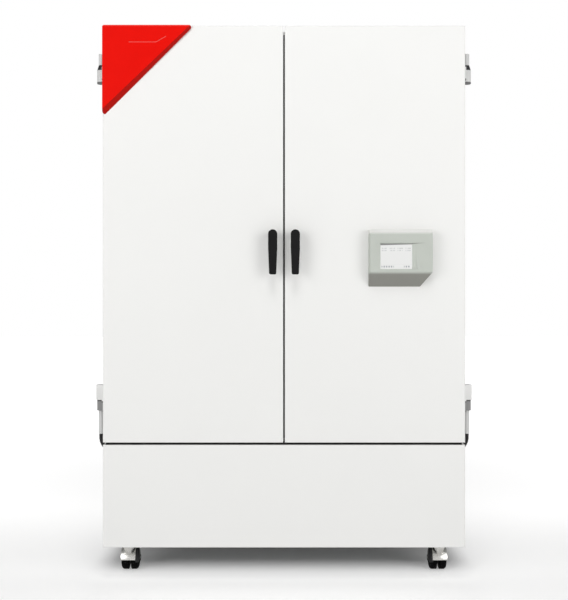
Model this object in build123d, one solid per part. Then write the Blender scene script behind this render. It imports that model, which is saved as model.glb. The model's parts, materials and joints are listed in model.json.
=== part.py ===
from build123d import *
import math
import os

# Two-door environmental test chamber on castors: outer doors with lever handles, a touch controller,
# glass inner doors, a stainless test space with air ducts, and the cooling plant in the base.
# Millimetres, +Z up. The front faces -Y, and the origin is on the floor under the middle of the whole object.

# Overall size of the cabinet
WIDTH = 1250.0
HEIGHT = 1925.0
DEPTH = 890.0
GROUND_CLEARANCE = 125.0

# Outer doors
DOOR_BOTTOM = 487.0
SEAM = 8.0
DOOR_GAP = 5.6
DOOR_THICK = 62.0
GASKET_SPACE = 10.0
DOOR_EDGE_RADIUS = 3.0
DISH_DEPTH = 12.0
DISH_MARGIN = 34.0
DISH_CENTRE_MARGIN = 26.0
GASKET_WIDTH = 22.0
GASKET_INSET = 7.0
GASKET_BULB_WIDTH = 12.0
GASKET_BASE_THICK = 4.0
SEAL_CLEARANCE = 0.3

# Sheet metal
PANEL_SHEET = 1.5
LINER_SHEET = 1.0

# Test space
CHAMBER_WIDTH = 973.0
CHAMBER_HEIGHT = 1250.0
CHAMBER_DEPTH = 576.0
CHAMBER_FLOOR = 582.0
SIDE_DUCT = 40.0
REAR_DUCT = 110.0
GLASS_RECESS = 32.0
GLASS_LEDGE = 13.5
FRONT_FLANGE = 60.0

# Inner glass doors
GLASS_THICK = 6.0
GLASS_SET_BACK = 16.0
GLASS_EDGE_GAP = 8.0
GLASS_MEETING_GAP = 3.0
GLASS_PIVOT_INSET = 4.0
GLASS_PIN_RADIUS = 2.5
GLASS_KNUCKLE_RADIUS = 3.6
GLASS_CLAMP_SIZE = 40.0
GLASS_CLAMP_THICK = 3.0
GLASS_PIN_LENGTH = 12.0
KNOB_RADIUS = 12.0
KNOB_LENGTH = 20.0
KNOB_FROM_CENTRE = 40.0

# Running clearance round every pin, shaft and spindle
RUNNING_CLEARANCE = 0.08
LOOSE_CLEARANCE = 0.5

# Outer hinges
HINGE_AXIS_OUT = 20.0
HINGE_BARREL_RADIUS = 14.0
HINGE_LUG_RADIUS = 8.5
HINGE_PIN_RADIUS = 5.0
HINGE_PLATE_THICK = 6.0
HINGE_PLATE_LENGTH = 80.0
UPPER_HINGE_BASE = 1741.0
UPPER_BARREL_HEIGHT = 46.0
UPPER_CONE_HEIGHT = 18.0
UPPER_BRACKET_HEIGHT = 40.0
LOWER_BRACKET_BASE = 508.0
LOWER_BRACKET_HEIGHT = 82.0
LOWER_BARREL_HEIGHT = 38.0
LOWER_BLOCK_HEIGHT = 53.0
BOOT_RADIUS = 8.0
BOOT_BEND_ANGLE = 55.0
BOOT_STRAIGHT = 14.0

# Door handles
HANDLE_FROM_CENTRE = 38.5
HANDLE_TOP = 1219.0
HANDLE_LENGTH = 153.0
HANDLE_TOP_WIDTH = 31.0
HANDLE_TIP_WIDTH = 24.0
HANDLE_THICK = 15.0
HANDLE_STANDOFF = 37.0
HANDLE_PIVOT_DROP = 17.0
HANDLE_TAPER_START = 62.0
HANDLE_ARCH = 13.5
NECK_RADIUS = 10.5
SPINDLE_RADIUS = 6.0
CAM_LENGTH = 40.0
CAM_THICK = 6.0
CAM_WIDTH = 16.0

# Corner cap on the left door
CAP_LEG = 315.0
CAP_THICK = 12.0
CAP_CORNER_RADIUS = 7.0
CAP_WALL = 2.5
CAP_BEVEL_LOW = 19.0
CAP_BEVEL_HIGH = 8.0
CAP_BEVEL_DEPTH = 9.0
CAP_TOP_BEVEL = 5.0
CAP_TOP_BEVEL_DEPTH = 2.0

# Touch controller on the right door
CONTROLLER_LEFT = 291.0
CONTROLLER_WIDTH = 216.0
CONTROLLER_BOTTOM = 1025.0
CONTROLLER_HEIGHT = 195.5
CONTROLLER_PROJECTION = 46.0
CONTROLLER_FACE_BOTTOM = 50.0
CONTROLLER_TOP_BEVEL = 14.0
CONTROLLER_TOP_DROP = 14.0
CONTROLLER_CORNER_CUT = 38.0
CONTROLLER_WALL = 3.0
CONTROLLER_DRAFT = 2.0
CONTROLLER_EDGE_RADIUS = 3.0
SCREEN_LEFT = 36.0
SCREEN_WIDTH = 111.0
SCREEN_BOTTOM = 58.0
SCREEN_HEIGHT = 90.0
SCREEN_RECESS = 9.0
RECESS_RUNOUT = 45.0
DISPLAY_THICK = 8.0

# Castors
CASTOR_INSET_X = 67.0
CASTOR_INSET_Y = 150.0
CASTOR_TRAIL = 30.0
WHEEL_RADIUS = 40.0
WHEEL_WIDTH = 24.0
WHEEL_SPACING = 11.0
WHEEL_EDGE = 9.0
WHEEL_DISH_RADIUS = 24.0
WHEEL_DISH_DEPTH = 3.0
AXLE_RADIUS = 5.0
CASTOR_PLATE_SIZE = 72.0
CASTOR_PLATE_THICK = 4.0
BALL_RACE_RADIUS = 27.0
BALL_RACE_HEIGHT = 12.0
KINGPIN_RADIUS = 6.0
CROWN_HEIGHT = 10.0
CROWN_NECK_RADIUS = 14.0
FENDER_GAP = 4.0
FENDER_THICK = 2.5
FENDER_FRONT_HEIGHT = 43.0
FENDER_REAR_REACH = 14.0
BRAKE_THICK = 5.0
BRAKE_CLEARANCE = 1.0
BRAKE_PEDAL_WIDTH = 12.0
BRAKE_PEDAL_LENGTH = 62.0

# Base
FRAME_BEAM_HEIGHT = 40.0
FRAME_BEAM_WIDTH = 30.0
FLOOR_PAN_THICK = 2.0
DECK_THICK = 2.0

# Air circulation
FAN_HEIGHT = 1380.0
FAN_RADIUS = 135.0
FAN_DEPTH = 56.0
FAN_BLADES = 12
FAN_SHAFT_RADIUS = 6.0
MOTOR_RADIUS = 52.0
MOTOR_LENGTH = 92.0
MOTOR_POCKET_DEPTH = 60.0
MOTOR_COVER_SIZE = 220.0
COVER_BEVEL = 10.0
REAR_PROJECTION = 42.0

HEATER_RADIUS = 4.0
HEATER_HALF_LENGTH = 300.0
HEATER_ABOVE_FAN = 60.0
HEATER_STRIP_DEPTH = 70.0
COIL_HALF_LENGTH = 330.0
COIL_DEPTH = 66.0
COIL_FLOOR_GAP = 120.0
COIL_HEIGHT = 260.0
COIL_TUBE_RADIUS = 6.0
COIL_TUBES = 4
COIL_FINS = 20

# Racks in the test space
RAIL_LEVELS = 8
RAIL_PITCH = 140.0
RAIL_FIRST = 90.0
RAIL_LEDGE = 12.0
RACK_LEVELS = (2, 5)
RACK_ROD_RADIUS = 4.0
RACK_WIRE_RADIUS = 1.8
RACK_WIRES = 23
RACK_SIDE_GAP = 3.0

# Cooling plant, humidifier and electrics box on the floor pan
COMPRESSOR_X = 330.0
COMPRESSOR_Y = -60.0
COMPRESSOR_RADIUS = 88.0
COMPRESSOR_HEIGHT = 220.0
COMPRESSOR_SHOULDER = 26.0
COMPRESSOR_FOOT_HEIGHT = 14.0
COMPRESSOR_FOOT_RADIUS = 14.0
CONDENSER_X = 290.0
CONDENSER_WIDTH = 400.0
CONDENSER_HEIGHT = 270.0
CONDENSER_DEPTH = 50.0
CONDENSER_REAR_GAP = 20.0
CONDENSER_FINS = 22
SHROUD_DEPTH = 45.0
CONDENSER_FAN_RADIUS = 105.0
CONDENSER_SHAFT_RADIUS = 4.0
CONDENSER_FAN_BLADES = 5
CONDENSER_BLADE_PITCH = 28.0
HUMIDIFIER_X = -330.0
HUMIDIFIER_Y = 150.0
HUMIDIFIER_RADIUS = 75.0
HUMIDIFIER_HEIGHT = 210.0
STEAM_PIPE_RADIUS = 14.0
ELECTRICS_LEFT = -560.0
ELECTRICS_WIDTH = 450.0
ELECTRICS_DEPTH = 160.0
ELECTRICS_HEIGHT = 230.0
ELECTRICS_FRONT_GAP = 40.0

# Cable port in the left wall
PORT_HEIGHT = 1180.0
PORT_BORE_RADIUS = 15.0
PORT_TUBE_WALL = 3.0
PORT_FLANGE_RADIUS = 30.0
PORT_FLANGE_THICK = 3.0
PLUG_LENGTH = 40.0
PLUG_CLEARANCE = 0.25
PASSING_CLEARANCE = 0.3

# Service panel and rear fittings
SERVICE_Y = 290.0
SERVICE_Z = 330.0
SERVICE_LENGTH = 150.0
SERVICE_HEIGHT = 120.0
SERVICE_RECESS = 14.0
SWITCH_RAISE = 22.0
SWITCH_HALF_LENGTH = 11.0
SWITCH_HALF_HEIGHT = 15.0
SWITCH_STUB = 1.5
SWITCH_STUB_RADIUS = 1.6
SWITCH_TILT = 10.0
FITTING_X = -450.0
FITTING_Z = 270.0
FITTING_PITCH = 70.0
SPIGOT_RADIUS = 6.5
SPIGOT_LENGTH = 25.0

# Planes worked out from the sizes above
HALF = WIDTH / 2
FRONT_PROJECTION = max(HANDLE_STANDOFF + HANDLE_THICK, CONTROLLER_PROJECTION)
Y_FRONT = -(DEPTH + REAR_PROJECTION - FRONT_PROJECTION) / 2
Y_DOOR_BACK = Y_FRONT + DOOR_THICK
Y_JOINT = Y_DOOR_BACK + GASKET_SPACE
Y_REAR = Y_FRONT + DEPTH
Y_LEDGE = Y_JOINT + GLASS_RECESS
Y_BAFFLE = Y_LEDGE + CHAMBER_DEPTH
Y_LINER_BACK = Y_BAFFLE + REAR_DUCT
CHAMBER_TOP = CHAMBER_FLOOR + CHAMBER_HEIGHT
LINER_HALF = CHAMBER_WIDTH / 2 + LINER_SHEET + SIDE_DUCT
RECESS_HALF = LINER_HALF + GLASS_LEDGE - LINER_SHEET
RECESS_FLOOR = CHAMBER_FLOOR - GLASS_LEDGE
RECESS_TOP = CHAMBER_TOP + GLASS_LEDGE
INSULATION_FLOOR = DOOR_BOTTOM
BASE_TOP = DOOR_BOTTOM - SEAM
FRAME_TOP = GROUND_CLEARANCE + FRAME_BEAM_HEIGHT
PAN_TOP = FRAME_TOP + FLOOR_PAN_THICK
HINGE_X = HALF + HINGE_AXIS_OUT
HANDLE_PIVOT_Z = HANDLE_TOP - HANDLE_PIVOT_DROP
GLASS_PIVOT_X = RECESS_HALF - GLASS_PIVOT_INSET
Y_GLASS = Y_JOINT + GLASS_SET_BACK
Y_CONDENSER = Y_REAR - PANEL_SHEET - CONDENSER_REAR_GAP - CONDENSER_DEPTH
CONDENSER_MIDDLE = PAN_TOP + CONDENSER_HEIGHT / 2
SWITCH_Z = SERVICE_Z + SWITCH_RAISE


def block(x0, x1, y0, y1, z0, z1):
    """A box between two corners."""
    centre = Pos((x0 + x1) / 2, (y0 + y1) / 2, (z0 + z1) / 2)
    return centre * Box(x1 - x0, y1 - y0, z1 - z0)


def rod(start, end, radius):
    """A round rod from one point to another."""
    along = Vector(*end) - Vector(*start)
    where = Plane(origin=start, z_dir=along)
    return where * Cylinder(radius, along.length, align=(Align.CENTER, Align.CENTER, Align.MIN))


def upright(x, y, z0, z1, radius):
    """A vertical round rod."""
    return rod((x, y, z0), (x, y, z1), radius)


def flipped(shape):
    """The same piece on the other side of the cabinet."""
    return mirror(shape, about=Plane.YZ)


# Cabinet: the foamed body, its outer sheets and the stainless liner

def liner_air():
    """The air inside the liner: the glass doors' recess and the chamber with its ducts."""
    recess = block(-RECESS_HALF, RECESS_HALF, Y_JOINT, Y_LEDGE, RECESS_FLOOR, RECESS_TOP)
    half = LINER_HALF - LINER_SHEET
    return recess + block(-half, half, Y_LEDGE, Y_LINER_BACK, CHAMBER_FLOOR, CHAMBER_TOP)


def liner_envelope():
    """The liner with the space inside it filled."""
    t = LINER_SHEET
    flange_x = RECESS_HALF + FRONT_FLANGE
    flange = block(-flange_x, flange_x, Y_JOINT, Y_JOINT + t, INSULATION_FLOOR, RECESS_TOP + FRONT_FLANGE)
    recess = block(-RECESS_HALF - t, RECESS_HALF + t, Y_JOINT, Y_LEDGE + t, RECESS_FLOOR - t, RECESS_TOP + t)
    body = block(-LINER_HALF, LINER_HALF, Y_LEDGE, Y_LINER_BACK + t, CHAMBER_FLOOR - t, CHAMBER_TOP + t)
    return flange + recess + body


def glass_pivot_holes():
    """Blind holes for the pivot pins of the glass doors, in the recess floor and ceiling."""
    radius = GLASS_PIN_RADIUS + RUNNING_CLEARANCE
    depth = GLASS_PIN_LENGTH + LOOSE_CLEARANCE
    holes = []
    for x in (-GLASS_PIVOT_X, GLASS_PIVOT_X):
        holes.append(upright(x, Y_GLASS, RECESS_FLOOR - depth, RECESS_FLOOR, radius))
        holes.append(upright(x, Y_GLASS, RECESS_TOP, RECESS_TOP + depth, radius))
    return holes


def port_hole(clearance=PASSING_CLEARANCE):
    """The hole that the cable port's tube passes through, in every layer of the left wall."""
    radius = PORT_BORE_RADIUS + PORT_TUBE_WALL + clearance
    return rod((-HALF - 1, 0, PORT_HEIGHT), (-CHAMBER_WIDTH / 2 + 1, 0, PORT_HEIGHT), radius)


def shaft_hole():
    """The hole for the fan's shaft through the rear wall."""
    return rod((0, Y_BAFFLE, FAN_HEIGHT), (0, Y_REAR, FAN_HEIGHT), FAN_SHAFT_RADIUS + 2)


def motor_pocket():
    """The round pocket in the rear wall that the fan motor sits in."""
    radius = MOTOR_RADIUS + LOOSE_CLEARANCE
    start = Y_REAR - PANEL_SHEET - MOTOR_POCKET_DEPTH
    return rod((0, start, FAN_HEIGHT), (0, Y_REAR, FAN_HEIGHT), radius)


def make_insulation():
    inside = HALF - PANEL_SHEET
    body = block(-inside, inside, Y_JOINT + PANEL_SHEET, Y_REAR - PANEL_SHEET, INSULATION_FLOOR,
                 HEIGHT - PANEL_SHEET)
    body -= liner_envelope()
    for hole in glass_pivot_holes() + [port_hole(), shaft_hole(), motor_pocket()]:
        body -= hole
    return body


def make_chamber_liner():
    liner = liner_envelope() - liner_air()
    for hole in glass_pivot_holes() + [port_hole(), shaft_hole()]:
        liner -= hole
    return liner


def make_side_panel():
    """The right side panel: one sheet from the base to the roof, folded in at the front and the rear."""
    t = PANEL_SHEET
    fold_in = RECESS_HALF + FRONT_FLANGE
    sheet = block(HALF - t, HALF, Y_JOINT, Y_REAR, GROUND_CLEARANCE, HEIGHT - t)
    front_fold = block(fold_in, HALF - t, Y_JOINT, Y_JOINT + t, INSULATION_FLOOR, HEIGHT - t)
    rear_fold = block(HALF - 16, HALF - t, Y_REAR - t, Y_REAR, GROUND_CLEARANCE, HEIGHT - t)
    return sheet + front_fold + rear_fold


def make_side_panel_left():
    return flipped(make_side_panel()) - port_hole()


def service_opening():
    """The cut-out in the right side panel for the service panel."""
    half_length, half_height = SERVICE_LENGTH / 2, SERVICE_HEIGHT / 2
    return block(HALF - SERVICE_RECESS, HALF + 1, SERVICE_Y - half_length, SERVICE_Y + half_length,
                 SERVICE_Z - half_height, SERVICE_Z + half_height)


def make_side_panel_right():
    return make_side_panel() - service_opening()


def make_roof_panel():
    t = PANEL_SHEET
    sheet = block(-HALF, HALF, Y_JOINT, Y_REAR, HEIGHT - t, HEIGHT)
    fold_in = RECESS_HALF + FRONT_FLANGE
    front_fold = block(-fold_in, fold_in, Y_JOINT, Y_JOINT + t, RECESS_TOP + FRONT_FLANGE, HEIGHT - t)
    return sheet + front_fold


def make_rear_panel():
    """The rear sheet with the vented cover over the fan motor."""
    t = PANEL_SHEET
    inside = HALF - 16 - LOOSE_CLEARANCE
    sheet = block(-inside, inside, Y_REAR - t, Y_REAR, INSULATION_FLOOR, HEIGHT - t)
    sheet -= motor_pocket()
    half = MOTOR_COVER_SIZE / 2
    y_end = Y_REAR + REAR_PROJECTION
    cover = block(-half, half, Y_REAR, y_end, FAN_HEIGHT - half, FAN_HEIGHT + half)
    cover = chamfer(cover.faces().sort_by(Axis.Y)[-1].edges(), COVER_BEVEL)
    hollow = block(-half + t, half - t, Y_REAR, y_end - t, FAN_HEIGHT - half + t, FAN_HEIGHT + half - t)
    cover -= chamfer(hollow.faces().sort_by(Axis.Y)[-1].edges(), COVER_BEVEL)
    for row in range(7):
        z = FAN_HEIGHT - 60 + row * 20
        cover -= block(-70, 70, y_end - 2 * t, y_end + 1, z - 3, z + 3)
    return [sheet, cover]


# Base: welded frame, front panel and louvred rear panel

def castor_spots():
    """The swivel axes of the four castors, as x, y and name."""
    x = HALF - CASTOR_INSET_X
    front, rear = Y_FRONT + CASTOR_INSET_Y, Y_REAR - CASTOR_INSET_Y
    return [(-x, front, "front_left"), (x, front, "front_right"), (-x, rear, "rear_left"),
            (x, rear, "rear_right")]


def make_base_frame():
    inside = HALF - PANEL_SHEET
    y0, y1 = Y_JOINT, Y_REAR - PANEL_SHEET
    z0, z1 = GROUND_CLEARANCE, FRAME_TOP
    w = FRAME_BEAM_WIDTH
    frame = block(-inside, inside, y0, y1, z0, z1) - block(-inside + w, inside - w, y0 + w, y1 - w, z0, z1)
    for x, y, _ in castor_spots():
        frame += block(-inside, inside, y - w / 2, y + w / 2, z0, z1)
        half = CASTOR_PLATE_SIZE / 2 + 8
        frame += block(x - half, x + half, y - half, y + half, z0, z0 + 5)
    frame += block(-inside, inside, y0, y1, z1, PAN_TOP)
    for x0 in (-inside, inside - w):
        for post_y in (y0, y1 - w):
            frame += block(x0, x0 + w, post_y, post_y + w, PAN_TOP, INSULATION_FLOOR - DECK_THICK)
    frame += block(-inside, inside, y0, y1, INSULATION_FLOOR - DECK_THICK, INSULATION_FLOOR)
    return frame


def make_base_front_panel():
    """The lower front cover: a folded sheet pan that reaches back to the side panels."""
    t = PANEL_SHEET
    pan = block(-HALF, HALF, Y_FRONT, Y_JOINT, GROUND_CLEARANCE, BASE_TOP)
    pan = fillet(pan.faces().sort_by(Axis.Y)[0].edges(), DOOR_EDGE_RADIUS)
    pan -= block(-HALF + t, HALF - t, Y_FRONT + t, Y_JOINT, GROUND_CLEARANCE + t, BASE_TOP - t)
    return pan


def make_base_rear_grille():
    """The lower rear sheet with louvre slots before the condenser."""
    t = PANEL_SHEET
    inside = HALF - 16 - LOOSE_CLEARANCE
    sheet = block(-inside, inside, Y_REAR - t, Y_REAR, GROUND_CLEARANCE, INSULATION_FLOOR - LOOSE_CLEARANCE)
    for column in range(2):
        x = 60 + column * 250
        for row in range(10):
            z = 195 + row * 24
            sheet -= block(x, x + 220, Y_REAR - 2 * t, Y_REAR + 1, z, z + 9)
    for spot in range(3):
        x, z = fitting_spot(spot)
        sheet -= rod((x, Y_REAR - 2 * t, z), (x, Y_REAR + 1, z), tail_radius(spot) + PASSING_CLEARANCE)
    return sheet


# Inside the test space

def make_side_baffles():
    """Perforated duct sheets with a fold that closes the duct in front; the left one has the port's hole."""
    x0, x1 = CHAMBER_WIDTH / 2, CHAMBER_WIDTH / 2 + LINER_SHEET
    right = block(x0, x1, Y_LEDGE, Y_BAFFLE, CHAMBER_FLOOR, CHAMBER_TOP)
    right += block(x0, LINER_HALF - LINER_SHEET, Y_LEDGE, Y_LEDGE + LINER_SHEET, CHAMBER_FLOOR, CHAMBER_TOP)
    columns, rows = 6, 7
    pitch_y = CHAMBER_DEPTH / (columns + 1)
    slot_half_y, slot_half_z = 22.0, 5.0
    for column in range(columns):
        for row in range(rows):
            y = Y_LEDGE + pitch_y * (column + 1)
            z = CHAMBER_FLOOR + RAIL_FIRST + RAIL_PITCH * (row + 0.5)
            right -= block(x0 - 1, x1 + 1, y - slot_half_y, y + slot_half_y, z - slot_half_z, z + slot_half_z)
    left = flipped(right) - port_hole()
    return [left, right]


def make_rear_baffle():
    """The sheet in front of the fan, with a ring of intake slots and outlet slots at the bottom."""
    half = CHAMBER_WIDTH / 2 + LINER_SHEET
    sheet = block(-half, half, Y_BAFFLE, Y_BAFFLE + LINER_SHEET, CHAMBER_FLOOR, CHAMBER_TOP)
    slots = 24
    for n in range(slots):
        angle = 360 / slots * n
        slot = Pos(0, Y_BAFFLE, FAN_HEIGHT) * Rot(0, angle, 0) * Pos(75, 0, 0) * Box(80, 6, 7)
        sheet -= slot
    return sheet - rod((0, Y_BAFFLE - 1, FAN_HEIGHT), (0, Y_BAFFLE + 2, FAN_HEIGHT), 4)


def make_circulation_fan():
    """Radial impeller: back plate, blades swept back, front ring, hub and the shaft it turns on."""
    y_back = Y_BAFFLE + REAR_DUCT - 30
    y_front = y_back - FAN_DEPTH
    plate = rod((0, y_back - 2, FAN_HEIGHT), (0, y_back, FAN_HEIGHT), FAN_RADIUS)
    ring = rod((0, y_front, FAN_HEIGHT), (0, y_front + 2, FAN_HEIGHT), FAN_RADIUS)
    ring -= rod((0, y_front - 1, FAN_HEIGHT), (0, y_front + 3, FAN_HEIGHT), FAN_RADIUS - 38)
    fan = plate + ring + rod((0, y_front + 16, FAN_HEIGHT), (0, y_back, FAN_HEIGHT), 20)
    for n in range(FAN_BLADES):
        turn = Pos(0, 0, FAN_HEIGHT) * Rot(0, 360 / FAN_BLADES * n, 0)
        blade = Pos(FAN_RADIUS - 30, (y_front + y_back) / 2, 0) * Rot(0, 38, 0) * Box(48, FAN_DEPTH - 1, 2)
        fan += turn * blade
    shaft_end = Y_REAR - PANEL_SHEET - MOTOR_POCKET_DEPTH + 30
    return fan + rod((0, y_back - 1, FAN_HEIGHT), (0, shaft_end, FAN_HEIGHT), FAN_SHAFT_RADIUS)


def make_fan_motor():
    start = Y_REAR - PANEL_SHEET - MOTOR_POCKET_DEPTH
    end = start + MOTOR_LENGTH
    body = rod((0, start, FAN_HEIGHT), (0, end, FAN_HEIGHT), MOTOR_RADIUS)
    body = chamfer(body.faces().sort_by(Axis.Y)[-1].edges(), 6)
    bore = rod((0, start - 1, FAN_HEIGHT), (0, start + 31, FAN_HEIGHT), FAN_SHAFT_RADIUS + RUNNING_CLEARANCE)
    return body - bore


def make_heater_rods():
    """Straight heater rods between two end strips, fixed to the back of the liner above the fan."""
    z = FAN_HEIGHT + FAN_RADIUS + HEATER_ABOVE_FAN
    row_pitch, column_pitch, rows, columns = 35.0, 28.0, 3, 2
    strip_margin = 15.0
    strip_top = z + row_pitch * (rows - 1) + strip_margin
    heater = []
    for x in (-HEATER_HALF_LENGTH, HEATER_HALF_LENGTH):
        heater.append(block(x - 2, x + 2, Y_LINER_BACK - HEATER_STRIP_DEPTH, Y_LINER_BACK, z - strip_margin,
                            strip_top))
    heater = heater[0] + heater[1]
    for row in range(rows):
        for column in range(columns):
            y = Y_LINER_BACK - HEATER_STRIP_DEPTH + 20 + column * column_pitch
            z_rod = z + row * row_pitch
            heater += rod((-HEATER_HALF_LENGTH, y, z_rod), (HEATER_HALF_LENGTH, y, z_rod), HEATER_RADIUS)
    return heater


def make_evaporator():
    """Finned cooling coil on the back of the liner under the fan."""
    z0 = CHAMBER_FLOOR + COIL_FLOOR_GAP
    z1 = z0 + COIL_HEIGHT
    y0 = Y_LINER_BACK - COIL_DEPTH
    half = COIL_HALF_LENGTH
    end_sheet, fin_sheet, fin_margin, tube_overhang = 2.0, 1.0, 4.0, 20.0
    coil = block(-half, -half + end_sheet, y0, Y_LINER_BACK, z0, z1)
    coil += block(half - end_sheet, half, y0, Y_LINER_BACK, z0, z1)
    tube_pitch = COIL_HEIGHT / COIL_TUBES
    for row in range(COIL_TUBES):
        z = z0 + tube_pitch * (row + 0.5)
        y = y0 + COIL_DEPTH / 2
        coil += rod((-half - tube_overhang, y, z), (half + tube_overhang, y, z), COIL_TUBE_RADIUS)
    fin_pitch = 2 * half / (COIL_FINS + 1)
    for n in range(COIL_FINS):
        x = -half + fin_pitch * (n + 1)
        coil += block(x - fin_sheet / 2, x + fin_sheet / 2, y0 + fin_margin, Y_LINER_BACK - fin_margin,
                      z0 + fin_margin, z1 - fin_margin)
    return coil


def rail_z(level):
    """The top of the rail ledge at a level."""
    return CHAMBER_FLOOR + RAIL_FIRST + RAIL_PITCH * level


def make_shelf_rails():
    """Angle rails on the side baffles, one pair for each rack level."""
    t = PANEL_SHEET
    half = CHAMBER_WIDTH / 2
    rails = []
    for level in range(RAIL_LEVELS):
        z = rail_z(level)
        for side in (-1, 1):
            inner, wall = side * (half - RAIL_LEDGE), side * half
            ledge = block(min(inner, wall), max(inner, wall), Y_LEDGE + 30, Y_BAFFLE - 10, z - t, z)
            web_in = side * (half - t)
            web = block(min(web_in, wall), max(web_in, wall), Y_LEDGE + 30, Y_BAFFLE - 10, z - 14, z - t)
            rails.append(ledge + web)
    return rails


def make_rack(level):
    """A wire rack: a rod frame with cross wires welded on from front to back."""
    r = RACK_ROD_RADIUS
    x = CHAMBER_WIDTH / 2 - RACK_SIDE_GAP - PANEL_SHEET - r
    y0, y1 = Y_LEDGE + 36, Y_BAFFLE - 16
    z = rail_z(level) + r
    rack = block(-x - r, x + r, y0 - r, y0 + r, z - r, z + r) + block(-x - r, x + r, y1 - r, y1 + r, z - r, z + r)
    rack += block(-x - r, -x + r, y0, y1, z - r, z + r) + block(x - r, x + r, y0, y1, z - r, z + r)
    section = RegularPolygon(RACK_WIRE_RADIUS, 6)
    wires = []
    for n in range(RACK_WIRES):
        wire_x = -x + 2 * x / (RACK_WIRES + 1) * (n + 1)
        start = Plane(origin=(wire_x, y0 - r + 1, z + r + RACK_WIRE_RADIUS / 2), z_dir=(0, 1, 0))
        wires.append(extrude(start * section, y1 - y0 + 2 * r - 2))
    return rack.fuse(*wires)


# Cooling plant, steam humidifier and electrics in the base

def make_compressor():
    """Hermetic compressor with its foot plate on the floor pan."""
    x, y = COMPRESSOR_X, COMPRESSOR_Y
    plate_half, foot_offset, plate_thick = COMPRESSOR_RADIUS + 7, COMPRESSOR_RADIUS - 8, 8.0
    z_shell = PAN_TOP + COMPRESSOR_FOOT_HEIGHT
    shell = upright(x, y, z_shell, z_shell + COMPRESSOR_HEIGHT, COMPRESSOR_RADIUS)
    shell = chamfer(shell.edges().filter_by(GeomType.CIRCLE), COMPRESSOR_SHOULDER)
    z_plate = z_shell - plate_thick + 2
    feet = block(x - plate_half, x + plate_half, y - plate_half, y + plate_half, z_plate, z_plate + plate_thick)
    for dx in (-foot_offset, foot_offset):
        for dy in (-foot_offset, foot_offset):
            feet += upright(x + dx, y + dy, PAN_TOP, z_plate + 1, COMPRESSOR_FOOT_RADIUS)
    stub_z = z_shell + 0.7 * COMPRESSOR_HEIGHT
    stub = rod((x, y, stub_z), (x - COMPRESSOR_RADIUS - 32, y, stub_z), 8)
    return shell + feet + stub


def condenser_arm_y():
    """The front and back of the strip that carries the condenser's fan motor."""
    back = Y_CONDENSER - SHROUD_DEPTH - 12
    return back - 6, back


def make_condenser():
    """Finned condenser behind the rear louvres, its fan shroud, fan motor bracket and the motor."""
    t, fin = 3.0, 1.2
    x0, x1 = CONDENSER_X - CONDENSER_WIDTH / 2, CONDENSER_X + CONDENSER_WIDTH / 2
    y0, y1 = Y_CONDENSER, Y_CONDENSER + CONDENSER_DEPTH
    z0, z1 = PAN_TOP, PAN_TOP + CONDENSER_HEIGHT
    middle = CONDENSER_MIDDLE
    coil = block(x0, x1, y0, y1, z0, z1) - block(x0 + t, x1 - t, y0, y1, z0 + t, z1 - t)
    pitch = (CONDENSER_WIDTH - 2 * t) / (CONDENSER_FINS + 1)
    for n in range(CONDENSER_FINS):
        x = x0 + t + pitch * (n + 1)
        coil += block(x - fin / 2, x + fin / 2, y0 + 2, y1 - 2, z0, z1)
    y_shroud = y0 - SHROUD_DEPTH
    shroud = block(x0, x1, y_shroud, y0, z0, z1) - block(x0 + t, x1 - t, y_shroud + t, y0, z0 + t, z1 - t)
    shroud -= rod((CONDENSER_X, y_shroud - 1, middle), (CONDENSER_X, y0, middle), CONDENSER_FAN_RADIUS + 6)
    arm_front, arm_back = condenser_arm_y()
    arm_half = 12.0
    arm = block(x0, x1, arm_front, arm_back, middle - arm_half, middle + arm_half)
    for x in (x0, x1 - 2 * t):
        arm += block(x, x + 2 * t, arm_front, y_shroud, middle - arm_half, middle + arm_half)
    motor_radius, motor_length, bore_depth = 34.0, 43.0, 20.0
    motor = rod((CONDENSER_X, arm_back - motor_length, middle), (CONDENSER_X, arm_back, middle), motor_radius)
    bore = rod((CONDENSER_X, arm_back - bore_depth, middle), (CONDENSER_X, arm_back + 1, middle),
               CONDENSER_SHAFT_RADIUS + RUNNING_CLEARANCE)
    return coil + shroud + (arm + motor - bore)


def make_condenser_fan():
    """Axial fan with pitched blades on a hub, and its shaft."""
    z = CONDENSER_MIDDLE
    hub_radius, hub_length, hub_gap = 26.0, 24.0, 7.0
    blade_chord, blade_thick = 46.0, 2.0
    y_hub = condenser_arm_y()[1] + hub_gap
    shaft_start = y_hub - hub_gap - 19
    fan = rod((CONDENSER_X, y_hub, z), (CONDENSER_X, y_hub + hub_length, z), hub_radius)
    fan += rod((CONDENSER_X, shaft_start, z), (CONDENSER_X, y_hub + 1, z), CONDENSER_SHAFT_RADIUS)
    blade_length = CONDENSER_FAN_RADIUS - hub_radius
    for n in range(CONDENSER_FAN_BLADES):
        turn = Pos(CONDENSER_X, y_hub + hub_length / 2, z) * Rot(0, 360 / CONDENSER_FAN_BLADES * n, 0)
        blade = Pos(hub_radius - 1 + blade_length / 2, 0, 0) * Rot(CONDENSER_BLADE_PITCH, 0, 0)
        fan += turn * blade * Box(blade_length, blade_thick, blade_chord)
    return fan


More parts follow.
